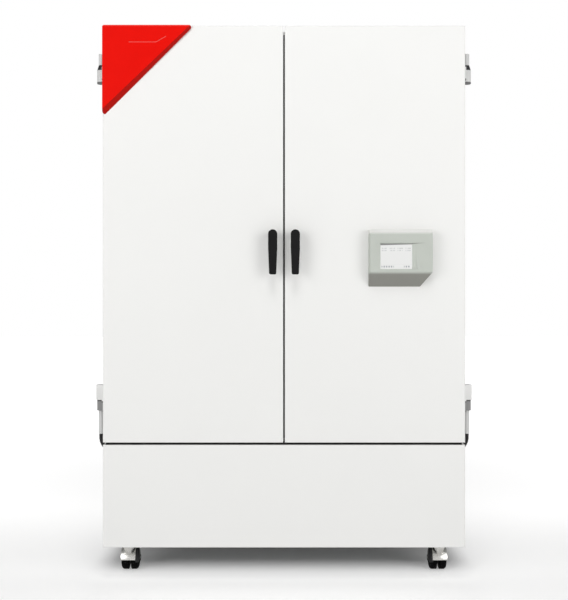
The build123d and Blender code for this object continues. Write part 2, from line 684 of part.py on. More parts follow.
def make_humidifier():
    """Steam humidifier: a stainless boiler with a lid, heater flange and steam outlet."""
    x, y = HUMIDIFIER_X, HUMIDIFIER_Y
    radius, top = HUMIDIFIER_RADIUS, PAN_TOP + HUMIDIFIER_HEIGHT
    tank = upright(x, y, PAN_TOP, top, radius)
    tank = chamfer(tank.faces().sort_by(Axis.Z)[-1].edges(), 10)
    lid = upright(x, y, top - 30, top - 22, radius + 9)
    outlet = upright(x, y, top - 10, INSULATION_FLOOR - DECK_THICK, STEAM_PIPE_RADIUS)
    z_flange = PAN_TOP + 50
    flange = rod((x, y - radius + 5, z_flange), (x, y - radius - 13, z_flange), 30)
    return tank + lid + outlet + flange


def make_electrics_box():
    """Sheet-metal box for the control electronics, with a folded lid rim."""
    x0, x1 = ELECTRICS_LEFT, ELECTRICS_LEFT + ELECTRICS_WIDTH
    y0 = Y_JOINT + ELECTRICS_FRONT_GAP
    y1 = y0 + ELECTRICS_DEPTH
    rim_out, rim_height = 4.0, 8.0
    top = PAN_TOP + ELECTRICS_HEIGHT
    box = block(x0, x1, y0, y1, PAN_TOP, top)
    return box + block(x0 - rim_out, x1 + rim_out, y0 - rim_out, y1 + rim_out, top - 30, top - 30 + rim_height)


def make_service_panel():
    """Recessed tray in the right side with a network socket, two round sockets and the switch frame."""
    t = 2.0
    half_length, half_height = SERVICE_LENGTH / 2, SERVICE_HEIGHT / 2
    x_out, x_in = HALF - PANEL_SHEET, HALF - SERVICE_RECESS
    grow = 8.0
    tray = block(x_out - t, x_out, SERVICE_Y - half_length - grow, SERVICE_Y + half_length + grow,
                 SERVICE_Z - half_height - grow, SERVICE_Z + half_height + grow)
    tray += block(x_in - t, x_out, SERVICE_Y - half_length - t, SERVICE_Y + half_length + t,
                  SERVICE_Z - half_height - t, SERVICE_Z + half_height + t)
    tray -= block(x_in, x_out + 1, SERVICE_Y - half_length, SERVICE_Y + half_length,
                  SERVICE_Z - half_height, SERVICE_Z + half_height)
    socket = block(x_in, x_in + 9, SERVICE_Y - 12, SERVICE_Y + 6, SERVICE_Z - 42, SERVICE_Z - 26)
    socket -= block(x_in + 2, x_in + 10, SERVICE_Y - 9, SERVICE_Y + 3, SERVICE_Z - 39, SERVICE_Z - 29)
    tray += socket
    for dy in (-48, 38):
        tray += rod((x_in, SERVICE_Y + dy, SERVICE_Z - 34), (x_in + 10, SERVICE_Y + dy, SERVICE_Z - 34), 10)
    tray += switch_frame(x_in)
    return tray


def switch_pivot():
    """The rocker's pivot, as x and z."""
    return HALF - SERVICE_RECESS + 5.5, SWITCH_Z


def switch_frame(x_in):
    """The raised frame that the main switch's rocker tilts in, with the pivot holes."""
    wall = 3.0
    frame = block(x_in, x_in + 8, SERVICE_Y - SWITCH_HALF_LENGTH - wall, SERVICE_Y + SWITCH_HALF_LENGTH + wall,
                  SWITCH_Z - SWITCH_HALF_HEIGHT - wall, SWITCH_Z + SWITCH_HALF_HEIGHT + wall)
    frame -= block(x_in, x_in + 9, SERVICE_Y - SWITCH_HALF_LENGTH, SERVICE_Y + SWITCH_HALF_LENGTH,
                   SWITCH_Z - SWITCH_HALF_HEIGHT, SWITCH_Z + SWITCH_HALF_HEIGHT)
    x, z = switch_pivot()
    reach = SWITCH_HALF_LENGTH + SWITCH_STUB
    return frame - rod((x, SERVICE_Y - reach - 0.3, z), (x, SERVICE_Y + reach + 0.3, z),
                       SWITCH_STUB_RADIUS + RUNNING_CLEARANCE)


def make_main_switch():
    """Rocker with a hollowed face, tilted to off, and the pivot stubs at its sides."""
    x, z = switch_pivot()
    half_length = SWITCH_HALF_LENGTH - 0.6
    reach = SWITCH_HALF_HEIGHT - 1.4
    points = [(-3, -8), (4.5, -reach), (2.2, 0), (4.5, reach), (-3, 8)]
    profile = Plane(origin=(0, half_length, 0), x_dir=(1, 0, 0), z_dir=(0, -1, 0))
    rocker = extrude(profile * make_face(Polyline(*points, close=True)), 2 * half_length)
    rocker = Rot(0, SWITCH_TILT, 0) * rocker
    rocker = Pos(x, SERVICE_Y, z) * rocker
    reach = SWITCH_HALF_LENGTH + SWITCH_STUB
    return rocker + rod((x, SERVICE_Y - reach, z), (x, SERVICE_Y + reach, z), SWITCH_STUB_RADIUS)


def fitting_spot(index):
    """Where each rear fitting sits: water inlet, water drain, mains gland."""
    return (FITTING_X, FITTING_Z - FITTING_PITCH * index) if index < 2 else (FITTING_X + 90, FITTING_Z)


def tail_radius(index):
    """The radius of each rear fitting's tail, which passes through the rear sheet."""
    return SPIGOT_RADIUS + (2 if index < 2 else 4)


def make_rear_fittings():
    """Two hose spigots with flanged nuts, and a closed mains cable gland."""
    fittings = []
    for index in range(2):
        x, z = fitting_spot(index)
        nut = Plane(origin=(x, Y_REAR, z), z_dir=(0, 1, 0)) * extrude(RegularPolygon(15, 6), 10)
        tail = rod((x, Y_REAR - 25, z), (x, Y_REAR + 1, z), tail_radius(index))
        spigot = rod((x, Y_REAR + 9, z), (x, Y_REAR + 10 + SPIGOT_LENGTH, z), SPIGOT_RADIUS)
        spigot_bore = rod((x, Y_REAR - 26, z), (x, Y_REAR + 11 + SPIGOT_LENGTH, z), SPIGOT_RADIUS - 2.2)
        fittings.append(nut + tail + spigot - spigot_bore)
    x, z = fitting_spot(2)
    gland = Plane(origin=(x, Y_REAR, z), z_dir=(0, 1, 0)) * extrude(RegularPolygon(18, 6), 9)
    dome = rod((x, Y_REAR + 8, z), (x, Y_REAR + 28, z), 14)
    dome = chamfer(dome.faces().sort_by(Axis.Y)[-1].edges(), 6)
    fittings.append(gland + dome + rod((x, Y_REAR - 20, z), (x, Y_REAR + 1, z), tail_radius(2)))
    return fittings


def make_access_port():
    """Flanged tube through the left wall for leads and probes."""
    outside = PORT_BORE_RADIUS + PORT_TUBE_WALL
    x0, x1 = -HALF - PORT_FLANGE_THICK, -CHAMBER_WIDTH / 2 - LINER_SHEET / 2 + 3
    tube = rod((x0, 0, PORT_HEIGHT), (x1, 0, PORT_HEIGHT), outside)
    tube += rod((x0, 0, PORT_HEIGHT), (-HALF, 0, PORT_HEIGHT), PORT_FLANGE_RADIUS)
    return tube - rod((x0 - 1, 0, PORT_HEIGHT), (x1 + 1, 0, PORT_HEIGHT), PORT_BORE_RADIUS)


def make_port_plug():
    """Silicone plug with a stepped head and a finger grip."""
    x_face = -HALF - PORT_FLANGE_THICK
    body = rod((x_face + PLUG_LENGTH, 0, PORT_HEIGHT), (x_face - 1, 0, PORT_HEIGHT),
               PORT_BORE_RADIUS - PLUG_CLEARANCE)
    body = chamfer(body.faces().sort_by(Axis.X)[-1].edges(), 3)
    head = rod((x_face - 0.2, 0, PORT_HEIGHT), (x_face - 6, 0, PORT_HEIGHT), PORT_BORE_RADIUS + 6)
    grip = block(x_face - 18, x_face - 5, -3.5, 3.5, PORT_HEIGHT - 12, PORT_HEIGHT + 12)
    return body + head + grip


# Outer hinges and the cable boots under them

def hinge_bracket(z0, z1):
    """The right cabinet half of a hinge: a screwed plate on the side panel and the lug that holds the pin."""
    plate_in, plate_out = HALF, HALF + HINGE_PLATE_THICK
    plate = block(plate_in, plate_out, Y_JOINT, Y_JOINT + HINGE_PLATE_LENGTH, z0, z1)
    plate = chamfer(plate.edges().filter_by(Axis.Z).sort_by(Axis.Y)[-1], 4)
    arm = block(plate_in, HINGE_X, Y_JOINT, Y_JOINT + HINGE_LUG_RADIUS, z0, z1)
    return plate + arm + upright(HINGE_X, Y_JOINT, z0, z1, HINGE_LUG_RADIUS)


def upper_hinge_top():
    return UPPER_HINGE_BASE + UPPER_BARREL_HEIGHT + UPPER_CONE_HEIGHT


def lower_barrel_base():
    return LOWER_BRACKET_BASE + LOWER_BRACKET_HEIGHT + LOOSE_CLEARANCE


def make_hinge_brackets():
    """Upper and lower brackets on both sides, each with its pin."""
    top = upper_hinge_top() + LOOSE_CLEARANCE
    upper = hinge_bracket(top, top + UPPER_BRACKET_HEIGHT)
    upper += upright(HINGE_X, Y_JOINT, UPPER_HINGE_BASE + 3, top + 1, HINGE_PIN_RADIUS)
    lower = hinge_bracket(LOWER_BRACKET_BASE, LOWER_BRACKET_BASE + LOWER_BRACKET_HEIGHT)
    pin_end = lower_barrel_base() + LOWER_BARREL_HEIGHT - 3
    lower += upright(HINGE_X, Y_JOINT, LOWER_BRACKET_BASE + LOWER_BRACKET_HEIGHT - 1, pin_end, HINGE_PIN_RADIUS)
    return [upper, lower, flipped(upper), flipped(lower)]


def door_leaf(z0, z1):
    """The plate on a right door's edge, with the web that joins it to the barrel."""
    plate = block(HALF, HALF + HINGE_PLATE_THICK, Y_FRONT + 12, Y_JOINT - 1, z0, z1)
    return plate + block(HALF, HINGE_X, Y_JOINT - HINGE_BARREL_RADIUS, Y_JOINT - 1, z0, z1)


def make_door_hinges():
    """The right door's hinge halves: upper barrel with its cone, lower barrel with its cover block."""
    z0 = UPPER_HINGE_BASE
    z1 = z0 + UPPER_BARREL_HEIGHT
    upper = upright(HINGE_X, Y_JOINT, z0, z1, HINGE_BARREL_RADIUS) + door_leaf(z0, z1)
    cone = Pos(HINGE_X, Y_JOINT, z1) * Cone(HINGE_BARREL_RADIUS, HINGE_LUG_RADIUS, UPPER_CONE_HEIGHT,
                                            align=(Align.CENTER, Align.CENTER, Align.MIN))
    upper += cone
    bore_radius = HINGE_PIN_RADIUS + RUNNING_CLEARANCE
    upper -= upright(HINGE_X, Y_JOINT, z0 + 2, upper_hinge_top() + 1, bore_radius)
    z2 = lower_barrel_base()
    z3 = z2 + LOWER_BARREL_HEIGHT
    lower = upright(HINGE_X, Y_JOINT, z2, z3 + LOWER_BLOCK_HEIGHT, HINGE_BARREL_RADIUS)
    lower += door_leaf(z2, z3 + LOWER_BLOCK_HEIGHT)
    lower += block(HALF + HINGE_PLATE_THICK, HINGE_X + HINGE_BARREL_RADIUS, Y_JOINT - HINGE_BARREL_RADIUS - 4,
                   Y_JOINT, z3, z3 + LOWER_BLOCK_HEIGHT)
    lower -= upright(HINGE_X, Y_JOINT, z2 - 1, z3 - 2, bore_radius)
    return [upper, lower]


def cable_boot():
    """Rubber conduit from the right lower bracket, bent in until it ends on the base's side panel."""
    y = Y_JOINT + HINGE_LUG_RADIUS
    z_bend = LOWER_BRACKET_BASE - BOOT_STRAIGHT
    overrun = 12.0
    bend_radius = HINGE_AXIS_OUT / (1 - math.cos(math.radians(BOOT_BEND_ANGLE)))
    down = Line((HINGE_X, y, LOWER_BRACKET_BASE), (HINGE_X, y, z_bend))
    bend = CenterArc((0, 0, 0), bend_radius, 0, -BOOT_BEND_ANGLE)
    bend = Plane(origin=(HINGE_X - bend_radius, y, z_bend), x_dir=(1, 0, 0), z_dir=(0, -1, 0)) * bend
    end = bend.position_at(1)
    onward = bend.tangent_at(1) * overrun
    path = Wire([*down.edges(), *bend.edges(), *Line(end, end + onward).edges()])
    section = Plane(origin=(HINGE_X, y, LOWER_BRACKET_BASE), z_dir=(0, 0, -1)) * Circle(BOOT_RADIUS)
    boot = sweep(section, path=path)
    return split(boot, bisect_by=Plane(origin=(HALF, 0, 0), z_dir=(1, 0, 0)), keep=Keep.TOP)


# Outer doors, built for the left side

def door_x(side_margin, centre_margin):
    """The x span of the left door, drawn in from both edges."""
    return -HALF + side_margin, -DOOR_GAP / 2 - centre_margin


def spindle_hole():
    return rod((-HANDLE_FROM_CENTRE, Y_FRONT - 1, HANDLE_PIVOT_Z), (-HANDLE_FROM_CENTRE, Y_JOINT, HANDLE_PIVOT_Z),
               SPINDLE_RADIUS + RUNNING_CLEARANCE)


def make_door_skin():
    """Painted outer pan of a door, with soft front edges and an open back."""
    t = PANEL_SHEET
    x0, x1 = door_x(0, 0)
    pan = block(x0, x1, Y_FRONT, Y_DOOR_BACK, DOOR_BOTTOM, HEIGHT)
    pan = fillet(pan.faces().sort_by(Axis.Y)[0].edges(), DOOR_EDGE_RADIUS)
    pan -= block(x0 + t, x1 - t, Y_FRONT + DOOR_EDGE_RADIUS, Y_DOOR_BACK, DOOR_BOTTOM + t, HEIGHT - t)
    return pan - spindle_hole()


def dish(grow):
    """The pressed-in field in the inner sheet of a door."""
    x0, x1 = door_x(DISH_MARGIN - grow, DISH_CENTRE_MARGIN - grow)
    return block(x0, x1, Y_DOOR_BACK - DISH_DEPTH - grow, Y_DOOR_BACK, DOOR_BOTTOM + DISH_MARGIN - grow,
                 HEIGHT - DISH_MARGIN + grow)


def door_inner_sheet():
    t = PANEL_SHEET
    x0, x1 = door_x(t, t)
    return block(x0, x1, Y_DOOR_BACK - LINER_SHEET, Y_DOOR_BACK, DOOR_BOTTOM + t, HEIGHT - t)


def make_door_liner():
    return door_inner_sheet() + dish(LINER_SHEET) - dish(0) - spindle_hole()


def make_door_foam():
    t = PANEL_SHEET
    x0, x1 = door_x(t, t)
    foam = block(x0, x1, Y_FRONT + DOOR_EDGE_RADIUS, Y_DOOR_BACK, DOOR_BOTTOM + t, HEIGHT - t)
    return foam - door_inner_sheet() - dish(LINER_SHEET) - spindle_hole()


def rim(x0, x1, z0, z1, width, y0, y1):
    """A rectangular frame of one width, lying in the door's plane."""
    return block(x0, x1, y0, y1, z0, z1) - block(x0 + width, x1 - width, y0, y1, z0 + width, z1 - width)


def make_door_gasket():
    """Rubber seal round a door's back; its centre strip reaches over the gap to the other door's seal."""
    x0, x1 = -HALF + GASKET_INSET, -SEAL_CLEARANCE
    z0, z1 = DOOR_BOTTOM + GASKET_INSET, HEIGHT - GASKET_INSET - GASKET_INSET
    y_mid = Y_DOOR_BACK + GASKET_BASE_THICK
    base = rim(x0, x1, z0, z1, GASKET_WIDTH, Y_DOOR_BACK, y_mid)
    inset = (GASKET_WIDTH - GASKET_BULB_WIDTH) / 2
    bulb = rim(x0 + inset, x1 - inset, z0 + inset, z1 - inset, GASKET_BULB_WIDTH, y_mid, Y_JOINT - SEAL_CLEARANCE)
    return base + bulb


def make_handle():
    """Left lever handle: tapered grip with an arched top, neck, spindle and the latch cam inside the door."""
    x, top = -HANDLE_FROM_CENTRE, HANDLE_TOP
    half_top, half_tip = HANDLE_TOP_WIDTH / 2, HANDLE_TIP_WIDTH / 2
    z_shoulder, z_tip = top - HANDLE_ARCH, top - HANDLE_LENGTH
    z_waist = top - HANDLE_TAPER_START
    arch = ThreePointArc((x - half_top, z_shoulder), (x, top), (x + half_top, z_shoulder))
    sides = Polyline((x + half_top, z_shoulder), (x + half_top, z_waist), (x + half_tip, z_tip),
                     (x - half_tip, z_tip), (x - half_top, z_waist), (x - half_top, z_shoulder))
    outline = make_face([*arch.edges(), *sides.edges()])
    back = Plane(origin=(0, Y_FRONT - HANDLE_STANDOFF, 0), x_dir=(1, 0, 0), z_dir=(0, -1, 0))
    grip = extrude(back * outline, HANDLE_THICK)
    grip = fillet(grip.edges().filter_by(Axis.Y).group_by(Axis.Z)[0], 5)
    grip = fillet(grip.faces().sort_by(Axis.Y)[0].edges(), 3)
    pivot = HANDLE_PIVOT_Z
    neck = rod((x, Y_FRONT - HANDLE_STANDOFF - 1, pivot), (x, Y_FRONT - 0.4, pivot), NECK_RADIUS)
    y_cam = Y_DOOR_BACK - DISH_DEPTH + 2
    spindle = rod((x, Y_FRONT - 1, pivot), (x, y_cam + 1, pivot), SPINDLE_RADIUS)
    cam = block(x - CAM_WIDTH / 2, x + CAM_WIDTH / 2, y_cam, y_cam + CAM_THICK, pivot - CAM_LENGTH, pivot)
    cam += rod((x, y_cam, pivot), (x, y_cam + CAM_THICK, pivot), CAM_WIDTH / 2)
    return grip + neck + spindle + cam


def cap_outline(inset):
    """The cap's triangle with rounded tips, drawn in on all sides by an inset."""
    leg = CAP_LEG - inset * (2 + math.sqrt(2))
    x0, z1 = -HALF + inset, HEIGHT - inset
    face = make_face(Polyline((x0, z1), (x0 + leg, z1), (x0, z1 - leg), close=True))
    return fillet(face.vertices(), CAP_CORNER_RADIUS - inset)


def cap_slope(inset):
    """The sloping face along the long side, wider at the lower tip than at the upper one."""
    y_face = Y_FRONT - CAP_THICK + inset
    long_side = 1 / math.sqrt(2)
    low = Vector(-HALF, y_face, HEIGHT - CAP_LEG) + Vector(-1, 0, 1) * long_side * (CAP_BEVEL_LOW + inset)
    high = Vector(-HALF + CAP_LEG, y_face, HEIGHT) + Vector(-1, 0, 1) * long_side * (CAP_BEVEL_HIGH + inset)
    rim = Vector(-HALF + CAP_LEG / 2, y_face + CAP_BEVEL_DEPTH, HEIGHT - CAP_LEG / 2)
    rim += Vector(-1, 0, 1) * long_side * inset
    return Plane(origin=low, z_dir=(high - low).cross(rim - low))


def cap_top_slope(inset):
    """The narrow sloping face along the top edge."""
    y_face = Y_FRONT - CAP_THICK + inset
    origin = (0, y_face, HEIGHT - inset - CAP_TOP_BEVEL)
    return Plane(origin=origin, z_dir=(0, CAP_TOP_BEVEL, -CAP_TOP_BEVEL_DEPTH))


def cap_form(inset, overrun):
    """The cap's solid form drawn in by an inset, running past the door's face by an overrun."""
    base = Plane(origin=(0, Y_FRONT + overrun, 0), x_dir=(1, 0, 0), z_dir=(0, -1, 0))
    form = extrude(base * cap_outline(inset), CAP_THICK - inset + overrun)
    for slope in (cap_slope(inset), cap_top_slope(inset)):
        form = split(form, bisect_by=slope, keep=Keep.TOP)
    return form


def make_corner_cap():
    """Triangular moulded cap on the left door's upper corner, hollow behind."""
    return cap_form(0, 0) - cap_form(CAP_WALL, 1)


# Touch controller on the right door

def controller_solid(inset):
    """The controller's outer form, drawn in by a wall thickness: sloped top edge and underside, drafted sides."""
    z0, z1 = CONTROLLER_BOTTOM + inset * 1.3, CONTROLLER_BOTTOM + CONTROLLER_HEIGHT - inset
    y_face = Y_FRONT - CONTROLLER_PROJECTION + inset
    x0, x1 = CONTROLLER_LEFT + inset, CONTROLLER_LEFT + CONTROLLER_WIDTH - inset
    face_z0 = CONTROLLER_BOTTOM + CONTROLLER_FACE_BOTTOM + inset * 0.4
    side = Polyline((Y_FRONT, z0), (y_face, face_z0), (y_face, z1 - CONTROLLER_TOP_BEVEL),
                    (y_face + CONTROLLER_TOP_DROP, z1), (Y_FRONT, z1), close=True)
    profile = Plane(origin=(x0, 0, 0), x_dir=(0, 1, 0), z_dir=(1, 0, 0)) * make_face(side)
    body = extrude(profile, x1 - x0)
    draft = math.tan(math.radians(CONTROLLER_DRAFT))
    body = split(body, bisect_by=Plane(origin=(x0, Y_FRONT, 0), z_dir=(1, draft, 0)), keep=Keep.TOP)
    body = split(body, bisect_by=Plane(origin=(x1, Y_FRONT, 0), z_dir=(-1, draft, 0)), keep=Keep.TOP)
    cut = CONTROLLER_CORNER_CUT
    corner = Plane(origin=(x1 - cut, 0, z0), z_dir=(CONTROLLER_FACE_BOTTOM, 0, -cut))
    return split(body, bisect_by=corner, keep=Keep.BOTTOM)


def screen_recess():
    """The sloped pocket round the screen: deepest at the left, running out to the right."""
    x0 = CONTROLLER_LEFT + SCREEN_LEFT
    x1 = x0 + SCREEN_WIDTH
    y_face = Y_FRONT - CONTROLLER_PROJECTION
    z0 = CONTROLLER_BOTTOM + SCREEN_BOTTOM
    floor = Polyline((x0, y_face - 1), (x0, y_face + SCREEN_RECESS), (x1, y_face + SCREEN_RECESS / 2),
                     (x1 + RECESS_RUNOUT, y_face - 1), close=True)
    profile = Plane(origin=(0, 0, z0), x_dir=(1, 0, 0), z_dir=(0, 0, 1)) * make_face(floor)
    return extrude(profile, SCREEN_HEIGHT)


def display_box(clearance):
    """The display module's place in the housing."""
    x0 = CONTROLLER_LEFT + SCREEN_LEFT + 2 - clearance
    x1 = CONTROLLER_LEFT + SCREEN_LEFT + SCREEN_WIDTH - 2 + clearance
    z0 = CONTROLLER_BOTTOM + SCREEN_BOTTOM + 2 - clearance
    z1 = CONTROLLER_BOTTOM + SCREEN_BOTTOM + SCREEN_HEIGHT - 2 + clearance
    return x0, x1, z0, z1


def make_controller_housing():
    form = controller_solid(0)
    front_edges = form.edges().filter_by_position(Axis.Y, Y_FRONT - CONTROLLER_PROJECTION, Y_FRONT - 1)
    housing = fillet(front_edges, CONTROLLER_EDGE_RADIUS) - controller_solid(CONTROLLER_WALL)
    x0, x1, z0, z1 = display_box(0)
    y_face = Y_FRONT - CONTROLLER_PROJECTION
    carrier = block(x0 - 6, x1 + 8, y_face + 1.5, y_face + SCREEN_RECESS + DISPLAY_THICK, z0 - 5, z1 + 5)
    housing += carrier
    housing -= screen_recess()
    x0, x1, z0, z1 = display_box(0.2)
    return housing - block(x0, x1, y_face, y_face + SCREEN_RECESS + DISPLAY_THICK + 1, z0, z1)


def make_controller_display():
    """The touch screen: glass front at the slope of the recess, with the module behind it."""
    x0, x1, z0, z1 = display_box(0)
    y_face = Y_FRONT - CONTROLLER_PROJECTION
    end = y_face + SCREEN_RECESS + DISPLAY_THICK
    module = block(x0, x1, y_face, end, z0, z1)
    return module - screen_recess()


# Inner glass doors, built for the left side

def make_glass_pane():
    z0, z1 = RECESS_FLOOR + GLASS_EDGE_GAP, RECESS_TOP - GLASS_EDGE_GAP
    x0, x1 = -RECESS_HALF + GLASS_EDGE_GAP, -GLASS_MEETING_GAP / 2
    return block(x0, x1, Y_GLASS, Y_GLASS + GLASS_THICK, z0, z1)


def glass_clamp(z_edge, direction):
    """A corner clamp on the pane, with the pivot pin; direction is +1 at the top and -1 at the bottom."""
    x_axis = -GLASS_PIVOT_X
    z_out = z_edge + direction * (GLASS_EDGE_GAP - 2)
    z_in = z_edge - direction * GLASS_CLAMP_SIZE
    low, high = min(z_in, z_out), max(z_in, z_out)
    plate = block(x_axis, x_axis + GLASS_CLAMP_SIZE, Y_GLASS - GLASS_CLAMP_THICK, Y_GLASS, low, high)
    low, high = min(z_edge, z_out), max(z_edge, z_out)
    cap = block(x_axis, x_axis + GLASS_CLAMP_SIZE, Y_GLASS - GLASS_CLAMP_THICK, Y_GLASS + GLASS_THICK, low, high)
    knuckle = upright(x_axis, Y_GLASS, low, high, GLASS_KNUCKLE_RADIUS)
    z_pin = z_edge + direction * (GLASS_EDGE_GAP + GLASS_PIN_LENGTH)
    pin = rod((x_axis, Y_GLASS, z_edge + direction), (x_axis, Y_GLASS, z_pin), GLASS_PIN_RADIUS)
    return plate + cap + knuckle + pin


def make_glass_fittings():
    """Corner clamps with pivot pins, the pull knob, and the seal strip on the meeting edge."""
    z0, z1 = RECESS_FLOOR + GLASS_EDGE_GAP, RECESS_TOP - GLASS_EDGE_GAP
    knob = rod((-KNOB_FROM_CENTRE, Y_GLASS, HANDLE_PIVOT_Z), (-KNOB_FROM_CENTRE, Y_GLASS - KNOB_LENGTH,
                                                              HANDLE_PIVOT_Z), KNOB_RADIUS)
    knob = chamfer(knob.faces().sort_by(Axis.Y)[0].edges(), 2)
    return [glass_clamp(z0, -1), glass_clamp(z1, 1), knob]


def make_glass_gasket():
    """Seal frame on the ledge behind the glass doors."""
    outer = RECESS_HALF - GLASS_EDGE_GAP - 6
    z0, z1 = RECESS_FLOOR, RECESS_TOP
    gasket = rim(-outer, outer, z0, z1, GLASS_LEDGE - SEAL_CLEARANCE, Y_GLASS + GLASS_THICK + SEAL_CLEARANCE,
                 Y_LEDGE)
    return gasket


# Castors

def make_castor_plates():
    """Top plates with the fixed ball race and the kingpin, one for each castor."""
    top = GROUND_CLEARANCE
    half = CASTOR_PLATE_SIZE / 2
    plates = []
    for x, y, _ in castor_spots():
        plate = block(x - half, x + half, y - half, y + half, top - CASTOR_PLATE_THICK, top)
        z_race = top - CASTOR_PLATE_THICK - BALL_RACE_HEIGHT
        plate += upright(x, y, z_race, top - CASTOR_PLATE_THICK, BALL_RACE_RADIUS)
        plate += upright(x, y, z_race - CROWN_HEIGHT + 3, z_race + 1, KINGPIN_RADIUS)
        plates.append(plate)
    return plates


def crown_top():
    return GROUND_CLEARANCE - CASTOR_PLATE_THICK - BALL_RACE_HEIGHT - LOOSE_CLEARANCE


def castor_half_width():
    """Half the width over both wheels of a castor."""
    return WHEEL_WIDTH + WHEEL_SPACING / 2


def across(x0, x1, y, radius):
    """A round rod along a castor's axle line."""
    return rod((x0, y, WHEEL_RADIUS), (x1, y, WHEEL_RADIUS), radius)


def make_fork(x, y, brake_side=0):
    """Swivel fork: crown, neck, hood over both wheels, centre leg and axle, which is longer at a brake."""
    z1 = crown_top()
    y_axle = y + CASTOR_TRAIL
    half = castor_half_width()
    inner = WHEEL_RADIUS + FENDER_GAP
    outer = inner + FENDER_THICK
    hood_top = WHEEL_RADIUS + outer
    crown = upright(x, y, z1 - CROWN_HEIGHT, z1, BALL_RACE_RADIUS)
    neck_base = WHEEL_RADIUS + math.sqrt(inner ** 2 - (CASTOR_TRAIL + CROWN_NECK_RADIUS / 2) ** 2)
    neck_height = z1 - CROWN_HEIGHT - neck_base
    neck = Pos(x, y, neck_base) * Cone(CROWN_NECK_RADIUS, BALL_RACE_RADIUS, neck_height,
                                       align=(Align.CENTER, Align.CENTER, Align.MIN))
    hood = across(x - half, x + half, y_axle, outer)
    hood -= block(x - half, x + half, y_axle - outer - 1, y_axle + outer + 1, -outer, FENDER_FRONT_HEIGHT)
    hood -= block(x - half, x + half, y_axle + FENDER_REAR_REACH, y_axle + outer + 1, 0, hood_top + 1)
    fork = crown + neck + hood
    fork -= across(x - half, x + half, y_axle, inner)
    leg_half = WHEEL_SPACING / 2 - 0.8
    leg = block(x - leg_half, x + leg_half, y_axle - 20, y_axle + 10, WHEEL_RADIUS, WHEEL_RADIUS + inner + 1)
    leg += across(x - leg_half, x + leg_half, y_axle, 12)
    fork += leg
    ends = [x - half + 2, x + half - 2]
    if brake_side < 0:
        ends[0] = x - half - BRAKE_CLEARANCE - BRAKE_THICK
    elif brake_side > 0:
        ends[1] = x + half + BRAKE_CLEARANCE + BRAKE_THICK
    fork += across(ends[0], ends[1], y_axle, AXLE_RADIUS)
    return fork - upright(x, y, z1 - CROWN_HEIGHT + 1.5, z1 + 1, KINGPIN_RADIUS + RUNNING_CLEARANCE)


def make_wheels(x, y):
    """The two wheels of a castor, rounded at the outer edge, each with a dished face and a bore for the axle."""
    y_axle = y + CASTOR_TRAIL
    pair = []
    for side in (-1, 1):
        x_in = x + side * WHEEL_SPACING / 2
        x_out = x_in + side * WHEEL_WIDTH
        tyre = across(x_in, x_out, y_axle, WHEEL_RADIUS)
        outer_face = tyre.faces().sort_by(Axis.X)[-1 if side > 0 else 0]
        tyre = fillet(outer_face.edges(), WHEEL_EDGE)
        tyre -= across(x_out - side * WHEEL_DISH_DEPTH, x_out + side, y_axle, WHEEL_DISH_RADIUS)
        tyre -= across(x_in - side, x_out + side, y_axle, AXLE_RADIUS + RUNNING_CLEARANCE)
        pair.append(tyre)
    return pair


def make_brake(x, y, side):
    """Brake lever: a cheek on the axle's end and a curved pedal that runs down before the hood."""
    half = castor_half_width()
    y_axle = y + CASTOR_TRAIL
    inner = WHEEL_RADIUS + FENDER_GAP + FENDER_THICK + BRAKE_CLEARANCE
    outer = inner + BRAKE_THICK
    x_in = x + side * (half + BRAKE_CLEARANCE)
    x_out = x_in + side * BRAKE_THICK
    x_pedal = x_out - side * BRAKE_PEDAL_WIDTH
    disc = across(x_pedal, x_out, y_axle, outer) - across(x_pedal, x_in, y_axle, inner)
    top_angle = math.degrees(BRAKE_PEDAL_LENGTH / outer) - 4
    reach = outer + 1
    wedge = Polyline((0, 0), (-reach, reach * math.tan(math.radians(-4))), (-reach, reach),
                     (-reach / math.tan(math.radians(top_angle)), reach), close=True)
    sector = Plane(origin=(min(x_out, x_pedal), y_axle, WHEEL_RADIUS), x_dir=(0, 1, 0), z_dir=(1, 0, 0))
    pedal = disc & extrude(sector * make_face(wedge), BRAKE_PEDAL_WIDTH)
    boss = across(x_in, x_out, y_axle, AXLE_RADIUS + 6)
    return pedal + boss - across(x_in - side, x_out + side, y_axle, AXLE_RADIUS + RUNNING_CLEARANCE)


